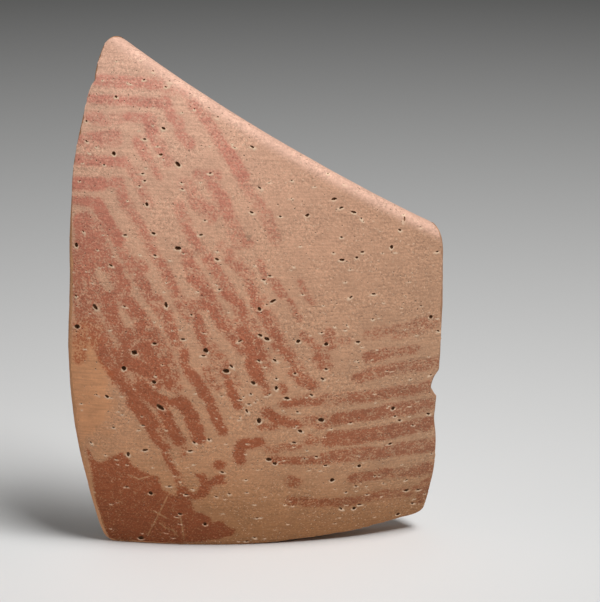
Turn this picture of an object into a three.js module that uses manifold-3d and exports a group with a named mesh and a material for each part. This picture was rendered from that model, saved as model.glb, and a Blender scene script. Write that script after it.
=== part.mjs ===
// A rim sherd of a round-bellied terracotta bowl: the broken wall, its buff slip and the red brush strokes on it.
// Millimetres, +Z up. The sherd stands on its lower break, with its painted side facing -Y.
import * as THREE from 'three';
import { mergeVertices } from 'three/addons/utils/BufferGeometryUtils.js';
import Module from 'manifold-3d';

const wasm = await Module();
wasm.setup();

// The bowl that the sherd broke from
const rimRadius = 90;
const profileRadius = 150;
const rimLean = THREE.MathUtils.degToRad(8);
const wallThickness = 6.5;
const lipHeight = 3;
const lipRise = 1;
const lipShoulder = lipHeight - lipRise;

// The layers on the wall
const slipThickness = 0.35;
const paintThickness = 0.15;
const layerGap = 0.04;
const clayDepth = slipThickness + layerGap;

// How the sherd stands: the bowl's axis leans over to +X, and the bowl is turned a little about that axis
const bowlTilt = THREE.MathUtils.degToRad(29.7);
const bowlTurn = THREE.MathUtils.degToRad(-8.1);
const footFlat = 0.45;

// How the breaks are worn
const wornInset = 0.8;
const slipInset = 1.1;
const fractureRelief = 0.22;
const footUndercut = 0.45;

// How finely the curved faces are divided
const sweep = { from: -47, to: 83, steps: 26, lowest: 104, rowHeight: 5, lipSteps: 8 };
const strokeStation = 2.4;

const clay = new THREE.MeshStandardMaterial({ name: 'orange_terracotta', color: 0xb98560, roughness: 0.95, metalness: 0 });
const slip = new THREE.MeshStandardMaterial({ name: 'buff_slip', color: 0xc6a489, roughness: 0.9, metalness: 0 });
const paint = new THREE.MeshStandardMaterial({ name: 'red_paint', color: 0x8e5a44, roughness: 0.85, metalness: 0 });

// A place on the bowl, from how far it is round the rim, how far down the wall and how deep in it
function wallPoint(along, down, depth) {
  const lean = rimLean - down / profileRadius;
  const reach = profileRadius - depth;
  const radius = rimRadius - profileRadius * Math.cos(rimLean) + reach * Math.cos(lean);
  const height = reach * Math.sin(lean) - profileRadius * Math.sin(rimLean);
  const angle = along / rimRadius;
  return new THREE.Vector3(radius * Math.sin(angle), -radius * Math.cos(angle), height);
}

// Turns points and triangles into a solid, with its faces pointing out whichever way the triangles ran
function solidFrom(points, triangles) {
  const geometry = new THREE.BufferGeometry().setFromPoints(points);
  geometry.setIndex(triangles.flat());
  const merged = mergeVertices(geometry, 1e-4);
  const position = merged.getAttribute('position');
  const index = Uint32Array.from(merged.getIndex().array);
  const corners = [new THREE.Vector3(), new THREE.Vector3(), new THREE.Vector3()];
  let volume = 0;
  for (let first = 0; first < index.length; first += 3) {
    corners.forEach((corner, k) => corner.fromBufferAttribute(position, index[first + k]));
    volume += corners[0].dot(corners[1].cross(corners[2]));
  }
  if (volume < 0) index.reverse();
  const mesh = { numProp: 3, vertProperties: Float32Array.from(position.array), triVerts: index };
  return new wasm.Manifold(new wasm.Mesh(mesh));
}

// Triangles between two neighbouring rows of points, whose first points are numbered a and b
function rowTriangles(a, b, count, closed) {
  const triangles = [];
  for (let k = 0; k < (closed ? count : count - 1); k++) {
    const next = (k + 1) % count;
    triangles.push([a + k, b + k, b + next], [a + k, b + next, a + next]);
  }
  return triangles;
}

// Triangles that fill a loop, running the same way round as the loop does
function fillLoop(loop) {
  const triangles = THREE.ShapeUtils.triangulateShape(loop, []);
  const sameWay = THREE.ShapeUtils.isClockWise(triangles[0].map((k) => loop[k])) === THREE.ShapeUtils.isClockWise(loop);
  return sameWay ? triangles : triangles.map((triangle) => triangle.reverse());
}

// Carries a cross-section of the wall, given as (down, depth) pairs, round the bowl
function sweepRound(section) {
  const points = [];
  const triangles = [];
  const count = section.length;
  for (let step = 0; step <= sweep.steps; step++) {
    const along = THREE.MathUtils.lerp(sweep.from, sweep.to, step / sweep.steps);
    section.forEach(({ x, y }) => points.push(wallPoint(along, x, y)));
    if (step > 0) triangles.push(...rowTriangles((step - 1) * count, step * count, count, true));
  }
  const end = sweep.steps * count;
  for (const [a, b, c] of fillLoop(section)) {
    triangles.push([a, b, c], [end + c, end + b, end + a]);
  }
  return solidFrom(points, triangles);
}

// The rows of a face at one depth, from the lip's shoulder down
function faceRows(depth) {
  const rows = [];
  const count = Math.ceil((sweep.lowest - lipShoulder) / sweep.rowHeight);
  for (let row = 1; row <= count; row++) {
    rows.push(new THREE.Vector2(THREE.MathUtils.lerp(lipShoulder, sweep.lowest, row / count), depth));
  }
  return rows;
}

// The rounded lip, from its outer shoulder over to its inner one, a layer's depth inside the outer skin
function lipRows(depth) {
  const rows = [];
  for (let step = 0; step <= sweep.lipSteps; step++) {
    const angle = Math.PI * step / sweep.lipSteps;
    const down = lipShoulder - (lipHeight - depth) * Math.sin(angle);
    rows.push(new THREE.Vector2(down, wallThickness / 2 - (wallThickness / 2 - depth) * Math.cos(angle)));
  }
  return rows;
}

// A run round the sherd's edge through chosen points, and the corner that leads from one run into the next
function addRun(shape, run) {
  shape.splineThru(run.slice(1).map(([along, down]) => new THREE.Vector2(along, down)));
}
function addCorner(shape, [cornerAlong, cornerDown], [along, down]) {
  shape.quadraticCurveTo(cornerAlong, cornerDown, along, down);
}

// The sherd's edge, as places round and down the wall: three breaks, and a line clear over the lip
function sherdOutline() {
  const leftUpper = [[-41.8, 3.2], [-41, 5.6], [-39.7, 7.2], [-38.9, 8.6], [-39, 10.2], [-36.6, 17], [-33.5, 25],
    [-29.9, 32.3], [-25.2, 41.6]];
  const leftLower = [[-25.2, 41.6], [-20.4, 50.7], [-15.8, 60.4], [-11.8, 67.6], [-5.6, 77.2], [2.3, 86.9],
    [9, 94.3], [12.4, 97.4]];
  const foot = [[17.8, 98.2], [27.4, 92.8], [42.3, 84.6], [60.7, 72.7], [74, 63]];
  const rightLower = [[77, 58.2], [74.3, 54.2], [71.1, 49], [65.8, 41.8], [61.9, 37.4], [59.7, 33.9]];
  const notch = [[58.8, 32.3], [56.5, 31.2], [55.4, 28.8], [55.4, 26.6]];
  const rightUpper = [[55.4, 26.6], [51.1, 19.1], [47.1, 12], [42.8, 4.6]];
  const shape = new THREE.Shape();
  shape.moveTo(...leftUpper[0]);
  addRun(shape, leftUpper);
  addRun(shape, leftLower);
  addCorner(shape, [14.6, 99.4], foot[0]);
  addRun(shape, foot);
  addCorner(shape, [78.6, 60.4], rightLower[0]);
  addRun(shape, rightLower);
  shape.lineTo(...notch[0]);
  addRun(shape, notch);
  addRun(shape, rightUpper);
  addCorner(shape, [40.9, 0.6], [37.9, -1.2]);
  shape.lineTo(30, -9);
  shape.lineTo(-34, -9);
  shape.lineTo(-39.6, -2);
  addCorner(shape, [-42, 0.2], leftUpper[0]);
  return tidyLoop(shape.getPoints(3));
}

// Drops the repeat where a loop closes and runs the loop anticlockwise
function tidyLoop(points) {
  const loop = points.filter((point, k) => point.distanceTo(points[(k + 1) % points.length]) > 0.05);
  return THREE.ShapeUtils.isClockWise(loop) ? loop.reverse() : loop;
}

// The direction out of a loop at each of its points
function outwards(loop) {
  return loop.map((point, k) => {
    const before = loop[(k + loop.length - 1) % loop.length];
    const after = loop[(k + 1) % loop.length];
    return new THREE.Vector2(after.y - before.y, before.x - after.x).normalize();
  });
}

// A solid through the wall inside a loop, from rings that each say how deep they lie and how far they are moved
function throughWall(loop, rings) {
  const normals = outwards(loop);
  const points = [];
  const triangles = [];
  rings.forEach(({ depth, moved }, ring) => {
    loop.forEach((point, k) => {
      const shift = moved(point, normals[k]);
      points.push(wallPoint(point.x + shift * normals[k].x, point.y + shift * normals[k].y, depth));
    });
    if (ring > 0) triangles.push(...rowTriangles((ring - 1) * loop.length, ring * loop.length, loop.length, true));
  });
  const last = (rings.length - 1) * loop.length;
  for (const [a, b, c] of fillLoop(loop)) {
    triangles.push([a, b, c], [last + c, last + b, last + a]);
  }
  return solidFrom(points, triangles);
}

// How uneven the broken faces are, and how far the lower break runs out under the wall so that it sits level
const downInWall = new THREE.Vector2(Math.sin(bowlTilt), Math.cos(bowlTilt));
function fracture(point, normal, depth) {
  const roughness = Math.sin(point.x * 0.45 + depth * 0.8) + Math.sin(point.y * 0.6 - depth * 1.1 + 2);
  const facesDown = Math.pow(Math.max(0, normal.dot(downInWall)), 8);
  return fractureRelief * roughness * Math.sin(Math.PI * depth / wallThickness) + footUndercut * depth * facesDown;
}

// The breaks as they run through the wall, rounded where they meet its two faces
function breakRings() {
  const roundings = [[-42, 1], [clayDepth - 0.3, 1], [clayDepth, 0.9], [clayDepth + 0.35, 0.35], [clayDepth + 0.9, 0.06],
    [2.6, 0], [4.4, 0], [wallThickness - 1.2, 0.06], [wallThickness - 0.7, 0.35], [wallThickness - 0.3, 1],
    [wallThickness + 1, 1.2]];
  return roundings.map(([depth, wear]) => ({
    depth,
    moved: (point, normal) => fracture(point, normal, THREE.MathUtils.clamp(depth, 0, wallThickness)) - wear * wornInset,
  }));
}

// Where the slip ends: worn back from the breaks, by more in some stretches than in others
function slipRings() {
  const moved = (point) => -slipInset - 0.35 * Math.sin(point.x * 0.31 + point.y * 0.17) - 0.2 * Math.sin(point.y * 0.9);
  return [{ depth: -42, moved }, { depth: wallThickness + 1, moved }];
}

// One pass of the brush: a thin ribbon on the slip, through chosen places, with rounded ends
function brushStroke({ width, path }) {
  const curve = new THREE.SplineCurve(path.map(([along, down]) => new THREE.Vector2(along, down)));
  const count = Math.max(3, Math.ceil(curve.getLength() / strokeStation));
  const points = [];
  const triangles = [];
  for (let station = 0; station <= count; station++) {
    const along = station / count;
    const middle = curve.getPointAt(along);
    const forward = curve.getTangentAt(along);
    const fullness = Math.sqrt(1 - 0.8 * Math.pow(Math.abs(2 * along - 1), 8));
    const half = 0.5 * width * fullness;
    for (const [side, lift] of [[-1, 0], [0, 0], [1, 0], [1, 1], [0, 1], [-1, 1]]) {
      const depth = -layerGap - lift * paintThickness;
      points.push(wallPoint(middle.x - side * half * forward.y, middle.y + side * half * forward.x, depth));
    }
    if (station > 0) triangles.push(...rowTriangles(6 * (station - 1), 6 * station, 6, true));
  }
  for (const first of [0, 6 * count]) {
    const faces = [[0, 4, 5], [0, 1, 4], [1, 3, 4], [1, 2, 3]].map((face) => face.map((k) => first + k));
    triangles.push(...(first === 0 ? faces : faces.map((face) => face.reverse())));
  }
  return solidFrom(points, triangles);
}

// A spread patch of paint inside a loop of chosen places
function paintPatch(places, film) {
  const loop = tidyLoop(places.map(([along, down]) => new THREE.Vector2(along, down)));
  const moved = () => 0;
  return film.intersect(throughWall(loop, [{ depth: -20, moved }, { depth: 1, moved }]));
}

// The strokes of the zigzag band, as places round and down the wall, from the rim down in each arm
const leftStrokes = [
  { width: 2.8, path: [[-39, 8.2], [-33.5, 6.2], [-27.2, 3.4]] },
  { width: 2, path: [[-38, 12.8], [-31.5, 9.2], [-25.4, 5.8]] },
  { width: 1.6, path: [[-37, 17], [-33.7, 14.8]] },
  { width: 2, path: [[-28, 11], [-24.7, 9.2], [-23.2, 9.3]] },
  { width: 2, path: [[-36, 21.4], [-31.3, 17.8], [-27.2, 15.6]] },
  { width: 2.2, path: [[-34, 25.6], [-28.5, 22], [-24.2, 19]] },
  { width: 2.4, path: [[-32, 29.6], [-26, 26], [-22.8, 23]] },
  { width: 1.8, path: [[-30, 33.2], [-25, 29.6]] },
];
const middleStrokes = [
  { width: 2.1, path: [[-18.3, 3.2], [-11.4, 4.4], [-3.2, 8], [2.1, 10.8], [9.5, 15.3]] },
  { width: 1.8, path: [[-23, 4.6], [-20.4, 6.4], [-16.3, 8.6], [-13.8, 8.3]] },
  { width: 2.2, path: [[-9.2, 11.8], [-5.5, 13.3], [-0.3, 17]] },
  { width: 1.8, path: [[10, 21.7], [12.1, 23.5], [17.5, 25.2]] },
  { width: 1.4, path: [[-22.2, 11.2], [-20.8, 12.2], [-17.5, 13.9]] },
  { width: 2, path: [[-24.2, 13.4], [-22, 15], [-19.6, 16]] },
  { width: 1.3, path: [[-22.2, 19.8], [-17, 22.2]] },
  { width: 1.4, path: [[-21.2, 24.6], [-19.5, 26.4], [-15.7, 27.9]] },
  { width: 2.3, path: [[-22.6, 29.8], [-20.3, 31.2], [-17.3, 33.3]] },
  { width: 4.2, path: [[-28.2, 36.4], [-24, 36.9], [-17, 40]] },
  { width: 2, path: [[-9.5, 20.6], [-5.3, 23.6], [-2.8, 24.9]] },
  { width: 1.8, path: [[-10.4, 31.5], [-4.8, 34], [-2.8, 35.6]] },
  { width: 2, path: [[-3.2, 28.8], [1.8, 32.1], [4.4, 33.3]] },
  { width: 2.2, path: [[0.6, 26.4], [3.8, 28.5], [11.5, 32.5]] },
  { width: 1.6, path: [[11, 26.8], [12.7, 29.2], [13.5, 30]] },
  { width: 2.2, path: [[4.4, 35.6], [7.2, 35.6], [12.3, 39.2]] },
  { width: 1.7, path: [[4.4, 38.6], [8.5, 43.4]] },
  { width: 1.8, path: [[16, 30.8], [20.3, 34.2]] },
  { width: 2.4, path: [[15.8, 38.9], [21.8, 44.6]] },
  { width: 1.8, path: [[23.1, 35.9], [25.7, 37.2]] },
  { width: 2, path: [[28, 38.8], [32.2, 40.4]] },
  { width: 1.8, path: [[26, 31.4], [31.8, 34.5]] },
  { width: 1.8, path: [[29, 28.7], [31.7, 29.4]] },
  { width: 1.9, path: [[9.1, 50.2], [16.2, 54.3], [22, 59]] },
  { width: 2, path: [[17.8, 48.3], [21, 51.4]] },
  { width: 2.4, path: [[-17.5, 44.2], [-12.9, 46], [-10.4, 47.8]] },
  { width: 2.2, path: [[-9.8, 44.2], [-5.9, 45.2]] },
  { width: 1.7, path: [[-10.4, 36.2], [-7, 38.7], [-3, 40.7]] },
  { width: 2.4, path: [[-9.5, 55.7], [-4.8, 58.8]] },
  { width: 2.3, path: [[-0.6, 60], [5.8, 64.4], [12.5, 68.6], [22.4, 76.2]] },
  { width: 2.4, path: [[9.3, 61.8], [15.2, 65.7]] },
  { width: 2.6, path: [[13.6, 58.3], [18.8, 62.8]] },
  { width: 2, path: [[-5.5, 47.4], [3.3, 51.2], [7, 53.8]] },
  { width: 2.6, path: [[-9.5, 49.6], [-4.6, 51.2], [-0.6, 53.2], [7.4, 57.6]] },
];
const rightStrokes = [
  { width: 1.8, path: [[42, 21.6], [49, 16]] },
  { width: 2.2, path: [[38, 30], [47, 23.6]] },
  { width: 2, path: [[39.6, 34.2], [45.1, 30.4], [53.6, 25.1]] },
  { width: 2.2, path: [[41, 39.4], [47.8, 34.6], [56.5, 29.6]] },
  { width: 1.8, path: [[29.2, 46.7], [35.6, 42.6]] },
  { width: 2.4, path: [[40.6, 44.8], [48.3, 39.9], [60, 32.4]] },
  { width: 2, path: [[28, 51], [31.9, 50.6], [36, 49]] },
  { width: 2.4, path: [[42, 50.6], [48.2, 46.6], [63, 37.4]] },
  { width: 2.2, path: [[34.8, 60.2], [41.8, 56], [55.8, 47.9], [67.5, 41.8]] },
  { width: 2, path: [[54.1, 56.8], [59.7, 53.4], [71.5, 46.4]] },
  { width: 1.8, path: [[45.7, 67.9], [56.4, 63], [63.9, 58.2], [72.4, 53.8]] },
];

// Where paint was laid solid over the base of the wall, and two splashes beside it
const patches = {
  base_patch: [[-6, 80.5], [-2, 78.6], [4.8, 78.4], [9.5, 76.8], [16, 77.4], [20.6, 79.6], [23.4, 77.6], [23.6, 73],
    [26.4, 70.8], [29.7, 69.3], [27.4, 73.6], [26.8, 77.4], [35.2, 80.2], [40, 83], [37.4, 89], [14, 103]],
  splash_upper: [[26.6, 59.6], [28.1, 57.2], [30.1, 56.1], [31.3, 58.4], [28.9, 59.6], [27.6, 60.2]],
  splash_lower: [[26.6, 61.3], [28.6, 60.8], [31.6, 63.7], [29.7, 64.8], [28.1, 63.8]],
};

const sherd = new THREE.Group();
sherd.name = 'terracotta_rim_sherd';
sherd.rotation.set(0, bowlTilt, bowlTurn);

function addPiece(name, solid, material) {
  const { vertProperties, triVerts } = solid.getMesh();
  const geometry = new THREE.BufferGeometry();
  geometry.setAttribute('position', new THREE.BufferAttribute(vertProperties, 3));
  geometry.setIndex(new THREE.BufferAttribute(triVerts, 1));
  geometry.computeVertexNormals();
  const mesh = new THREE.Mesh(geometry, material);
  mesh.name = name;
  sherd.add(mesh);
  return mesh;
}

const outline = sherdOutline();
const breaks = throughWall(outline, breakRings());
const slipEdge = throughWall(outline, slipRings());

// The fired clay, with the small flat that it stands on worn into the lower break
function clayBody() {
  const section = [...faceRows(clayDepth).reverse(), ...lipRows(clayDepth), ...faceRows(wallThickness - clayDepth)];
  const broken = sweepRound(section).intersect(breaks);
  const up = new THREE.Vector3(0, 0, 1).applyQuaternion(sherd.quaternion.clone().invert());
  const { vertProperties } = broken.getMesh();
  let lowest = Infinity;
  for (let first = 0; first < vertProperties.length; first += 3) {
    lowest = Math.min(lowest, up.dot(new THREE.Vector3().fromArray(vertProperties, first)));
  }
  return { body: broken.trimByPlane(up.toArray(), lowest + footFlat), up, floor: lowest + footFlat };
}

// A coat over the outer face and round the lip, between two depths
function coat(outer, inner) {
  const section = [...faceRows(outer).reverse(), ...lipRows(outer), ...lipRows(inner).reverse(), ...faceRows(inner)];
  return sweepRound(section);
}

const { body, up, floor } = clayBody();
addPiece('clay_body', body, clay);
addPiece('buff_slip', coat(0, slipThickness).intersect(slipEdge).trimByPlane(up.toArray(), floor), slip);

const paintFilm = coat(-layerGap - paintThickness, -layerGap);
const paintEdge = slipEdge.trimByPlane(up.toArray(), floor);
for (const [arm, strokes] of Object.entries({ left: leftStrokes, middle: middleStrokes, right: rightStrokes })) {
  strokes.forEach((stroke, k) => {
    const number = String(k + 1).padStart(2, '0');
    addPiece(`${arm}_stroke_${number}`, brushStroke(stroke).intersect(paintEdge), paint);
  });
}
for (const [name, places] of Object.entries(patches)) {
  addPiece(name, paintPatch(places, paintFilm).intersect(paintEdge), paint);
}

// The origin is under the middle of the sherd, on the surface that it stands on
sherd.updateMatrixWorld(true);
const box = new THREE.Box3().setFromObject(sherd, true);
sherd.position.set(-(box.min.x + box.max.x) / 2, -(box.min.y + box.max.y) / 2, -box.min.z);

export default sherd;
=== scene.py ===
# A rim sherd of a round-bellied terracotta bowl: fired clay, a buff slip and red brush strokes.
# Places on the wall are in millimetres: along runs round the rim, down runs down the wall,
# and depth runs into it.
import math
import random
import bpy
import numpy as np
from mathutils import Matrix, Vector, kdtree, noise
from mathutils.bvhtree import BVHTree
from mathutils.geometry import delaunay_2d_cdt
from mathutils.interpolate import poly_3d_calc


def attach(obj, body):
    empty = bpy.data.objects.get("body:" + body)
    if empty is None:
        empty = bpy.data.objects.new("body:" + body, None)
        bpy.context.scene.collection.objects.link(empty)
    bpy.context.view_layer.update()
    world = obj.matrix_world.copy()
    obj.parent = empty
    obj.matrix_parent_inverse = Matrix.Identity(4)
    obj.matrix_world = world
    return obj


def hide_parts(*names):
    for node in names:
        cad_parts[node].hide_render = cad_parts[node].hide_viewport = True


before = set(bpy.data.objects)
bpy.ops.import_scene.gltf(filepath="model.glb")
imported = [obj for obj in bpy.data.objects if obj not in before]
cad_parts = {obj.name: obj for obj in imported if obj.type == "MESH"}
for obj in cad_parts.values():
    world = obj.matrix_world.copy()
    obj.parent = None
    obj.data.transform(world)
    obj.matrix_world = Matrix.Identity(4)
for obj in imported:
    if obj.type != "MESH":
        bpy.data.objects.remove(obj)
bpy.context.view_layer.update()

photoView = {"lookAt": (0.0092, -0.020, 0.0590), "elevation": 16, "distance": 0.9,
             "frameHeight": 0.1205, "sensor": 36, "nearest": 0.05, "farthest": 20}


def addCamera(view):
    lens = bpy.data.cameras.new("photoCamera")
    lens.sensor_width = view["sensor"]
    lens.lens = view["sensor"] * view["distance"] / view["frameHeight"]
    lens.clip_start, lens.clip_end = view["nearest"], view["farthest"]
    camera = bpy.data.objects.new("photoCamera", lens)
    tilt = math.radians(view["elevation"])
    back = Vector((0, -math.cos(tilt), math.sin(tilt)))
    camera.location = Vector(view["lookAt"]) + back * view["distance"]
    camera.rotation_euler = (-back).to_track_quat("-Z", "Y").to_euler()
    bpy.context.scene.collection.objects.link(camera)
    bpy.context.scene.camera = camera
    print("camera", [round(x, 4) for x in camera.location])


addCamera(photoView)

# The bowl that the sherd broke from
bowl = {
    "rimRadius": 90.0, "profileRadius": 150.0, "rimLean": math.radians(8),
    "wall": 6.5, "lipHeight": 2.65, "lipRise": 0.65, "lipPower": 0.68,
    "tilt": math.radians(29.7), "turn": math.radians(-8.1),
    "middle": (14.703, 75.878, 83.795),  # the middle of the rim's circle, in the frame
}
shoulder = bowl["lipHeight"] - bowl["lipRise"]  # how far down the lip's rounding starts
lipArc = math.pi * math.sqrt((bowl["lipHeight"] ** 2 + (bowl["wall"] / 2) ** 2) / 2)
crest = shoulder - lipArc / 2  # where the way over the lip is half done
innerShoulder = shoulder - lipArc
cosTilt, sinTilt = math.cos(bowl["tilt"]), math.sin(bowl["tilt"])
cosTurn, sinTurn = math.cos(bowl["turn"]), math.sin(bowl["turn"])
tilted = np.array([[cosTilt, 0, sinTilt], [0, 1, 0], [-sinTilt, 0, cosTilt]])
standing = tilted @ np.array([[cosTurn, -sinTurn, 0], [sinTurn, cosTurn, 0], [0, 0, 1]])
circleRadius = bowl["rimRadius"] - bowl["profileRadius"] * math.cos(bowl["rimLean"])
circleHeight = -bowl["profileRadius"] * math.sin(bowl["rimLean"])


def bowlPoint(along, down, depth):
    lean = bowl["rimLean"] - down / bowl["profileRadius"]
    reach = bowl["profileRadius"] - depth
    radius = circleRadius + reach * np.cos(lean)
    angle = along / bowl["rimRadius"]
    height = circleHeight + reach * np.sin(lean)
    point = np.stack([radius * np.sin(angle), -radius * np.cos(angle), height], axis=-1)
    return (point @ standing.T + bowl["middle"]) / 1000


def bowlPlace(points):
    # the way back: along, down and depth of points in the frame
    local = (np.asarray(points) * 1000 - bowl["middle"]) @ standing
    along = np.arctan2(local[..., 0], -local[..., 1]) * bowl["rimRadius"]
    out = np.hypot(local[..., 0], local[..., 1]) - circleRadius
    up = local[..., 2] - circleHeight
    down = (bowl["rimLean"] - np.arctan2(up, out)) * bowl["profileRadius"]
    return np.stack([along, down, bowl["profileRadius"] - np.hypot(out, up)], axis=-1)


def ringShare(down):
    # how much longer a step round the bowl is at this height than at the rim
    lean = bowl["rimLean"] - down / bowl["profileRadius"]
    return (circleRadius + bowl["profileRadius"] * np.cos(lean)) / bowl["rimRadius"]


def lipCurve(turned):
    # the lip's section is an oval, squared up a little
    up, out = np.abs(np.sin(turned)), np.cos(turned)
    return up ** bowl["lipPower"], np.sign(out) * np.abs(out) ** bowl["lipPower"]


def acrossAt(down):
    # the way across the skin for heights on the outer half of the lip, and below it
    rise = np.clip((shoulder - down) / bowl["lipHeight"], 0, 1) ** (1 / bowl["lipPower"])
    return np.where(down < shoulder, shoulder - np.arcsin(rise) / math.pi * lipArc, down)


def skinPoint(along, across, sunk):
    # across runs down the outer face, and below the shoulder's value over the lip to the inner face
    along, across, sunk = np.broadcast_arrays(*(np.asarray(x, float) for x in (along, across, sunk)))
    turned = np.clip((shoulder - across) / lipArc, 0, 1) * math.pi
    overLip = (turned > 0) & (turned < math.pi)
    inside = across < innerShoulder
    up, out = lipCurve(turned)
    down = np.where(inside, shoulder + innerShoulder - across, across)
    down = np.where(overLip, shoulder - (bowl["lipHeight"] - sunk) * up, down)
    half = bowl["wall"] / 2
    depth = np.where(inside, bowl["wall"] - sunk, sunk)
    depth = np.where(overLip, half - (half - sunk) * out, depth)
    return bowlPoint(along, down, depth)


def skinNormal(along, across):
    normal = skinPoint(along, across, -0.05) - skinPoint(along, across, 0.05)
    return normal / np.linalg.norm(normal, axis=-1, keepdims=True)


def smoothStep(low, high, value):
    share = np.clip((value - low) / (high - low), 0, 1)
    return share * share * (3 - 2 * share)


def roughly(places, size, seed, octaves=3):
    # noise of about -1 to 1 over places in millimetres
    shift = Vector((seed * 7.3, seed * 3.1, seed * 11.7))
    places = np.asarray(places, float)
    if places.shape[1] == 2:
        places = np.c_[places, np.zeros(len(places))]
    spots = [Vector(place) / size + shift for place in places.tolist()]
    return np.array([noise.fractal(spot, 0.6, 2.1, octaves) for spot in spots])


# The line that it broke along, in along and down
breaks = {
    "leftUpper": [(-40.9, 2.9), (-40.5, 4.5), (-40, 6.1), (-39.5, 7.3), (-38.9, 8.6), (-38.4, 9.5),
                  (-38.4, 10.9), (-37.7, 13.3), (-36.5, 16.9), (-33.5, 25), (-29.9, 32.3), (-25.2, 41.6)],
    "leftLower": [(-25.2, 41.6), (-20.4, 50.7), (-15.8, 60.4), (-11.8, 67.6), (-5.6, 77.2),
                  (2.3, 86.9), (9, 94.3), (12.4, 97.4)],
    "foot": [(17.8, 98.2), (27.4, 92.8), (42.2, 84.5), (60.5, 72.4), (73.8, 62.7)],
    "rightLower": [(77, 58.2), (74.3, 54.2), (71.1, 49), (65.8, 41.8), (61.9, 37.4), (59.7, 33.9)],
    "notch": [(58.8, 32.3), (56.5, 31.2), (55.4, 28.8), (55.4, 26.6)],
    "rightUpper": [(55.4, 26.6), (51.1, 19.1), (47.1, 12), (42.8, 4.6)],
    "leftTip": [(-39.2, -2), (-41.4, 0.4)], "footLeft": (14.6, 99.4), "footRight": (78.6, 60.4),
    "rightTip": [(40.9, 0.6), (37.9, -1.2)],
    "spacing": 0.4, "leastWear": 0.5, "mostWear": 1.0, "mostOfWall": 0.42, "wearAtTips": 0.02,
    "undercut": 0.45,
}


def splineThrough(places, steps=8):
    ends = np.array([places[0], *places, places[-1]], float)
    line = []
    for a, b, c, d in zip(ends, ends[1:], ends[2:], ends[3:]):
        for t in np.arange(steps) / steps:
            line.append(b + 0.5 * t * (c - a + t * (2 * a - 5 * b + 4 * c - d + t * (3 * b - a - 3 * c + d))))
    return line + [ends[-1]]


def roundCorner(start, corner, end, steps=16):
    start, corner, end = (np.array(p, float) for p in (start, corner, end))
    return [start * (1 - t) ** 2 + 2 * corner * t * (1 - t) + end * t * t for t in np.linspace(0, 1, steps)]


def brokenEdge():
    # down the left break from the crest of the lip, along the foot and up the right break
    b = breaks
    line = np.array([
        *roundCorner(b["leftTip"][0], b["leftTip"][1], b["leftUpper"][0]), *splineThrough(b["leftUpper"]),
        *splineThrough(b["leftLower"]), *roundCorner(b["leftLower"][-1], b["footLeft"], b["foot"][0]),
        *splineThrough(b["foot"]), *roundCorner(b["foot"][-1], b["footRight"], b["rightLower"][0]),
        *splineThrough(b["rightLower"]), *splineThrough(b["notch"]), *splineThrough(b["rightUpper"]),
        *roundCorner(b["rightUpper"][-1], *b["rightTip"])])
    line = line[np.r_[True, np.linalg.norm(np.diff(line, axis=0), axis=1) > 1e-6]]
    fine = np.linspace(0, len(line) - 1, 12 * len(line))
    along, down = (np.interp(fine, np.arange(len(line)), line[:, k]) for k in (0, 1))
    kept = down >= -bowl["lipRise"]
    along, down = along[kept], down[kept]
    across = acrossAt(down)
    across[[0, -1]] = crest
    way = np.r_[0, np.cumsum(np.linalg.norm(np.diff(skinPoint(along, across, 0), axis=0), axis=1))] * 1000
    even = np.linspace(0, way[-1], round(way[-1] / b["spacing"]) + 1)
    return np.stack([np.interp(even, way, along), np.interp(even, way, across)], axis=1)


def unitRows(rows):
    return rows / np.linalg.norm(rows, axis=1, keepdims=True)


def treeOf(points):
    tree = kdtree.KDTree(len(points))
    for k, point in enumerate(points.tolist()):
        tree.insert(point, k)
    tree.balance()
    return tree


edge = brokenEdge()
edgePoints = skinPoint(edge[:, 0], edge[:, 1], 0)
edgeNormals = skinNormal(edge[:, 0], edge[:, 1])
edgeThrough = skinPoint(edge[:, 0], 2 * crest - edge[:, 1], 0) - edgePoints
edgeChord = np.linalg.norm(edgeThrough, axis=1) * 1000
edgeRun = np.gradient(edgePoints, axis=0)
for _ in range(3):
    edgeRun[1:-1] = (edgeRun[:-2] + 2 * edgeRun[1:-1] + edgeRun[2:]) / 4
inwards = unitRows(np.cross(edgeRun, edgeNormals))
inwards *= np.sign(np.einsum("ij,ij->i", inwards, skinPoint(15, 45, 0) - edgePoints).mean())
flatRun = unitRows(np.gradient(edge, axis=0))
facesDown = np.clip(flatRun[:, 0] * cosTilt - flatRun[:, 1] * sinTilt, 0, 1) ** 8
wearShare = 0.5 + 0.5 * roughly(edgePoints * 1000, 9, 1)
wear = breaks["leastWear"] + (breaks["mostWear"] - breaks["leastWear"]) * wearShare
wear = np.clip(wear, breaks["leastWear"], breaks["mostWear"])
wear = np.minimum(wear, np.maximum(breaks["mostOfWall"] * edgeChord, breaks["wearAtTips"]))
nearestEdge = treeOf(edgePoints)
crestSteps = round((edge[-1, 0] - edge[0, 0]) / breaks["spacing"])
crestRow = np.linspace(edge[-1, 0], edge[0, 0], crestSteps)[1:-1]
sherdLoop = np.concatenate([edge, np.c_[crestRow, np.full(len(crestRow), crest)]])
print("edge", len(edge), "points", round(float(edgeChord.max()), 2), "mm thick")


def folded(places):
    # the inner face laid on the outer one, so that both are measured from the same broken edge
    return np.c_[places[:, 0], crest + np.abs(places[:, 1] - crest)]


def insideEdges(points, starts, ends):
    inside = np.zeros(len(points), bool)
    for (x0, y0), (x1, y1) in zip(starts, ends):
        if y0 != y1:
            crosses = (points[:, 1] > y0) != (points[:, 1] > y1)
            inside ^= crosses & (points[:, 0] < (x1 - x0) * (points[:, 1] - y0) / (y1 - y0) + x0)
    return inside


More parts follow.
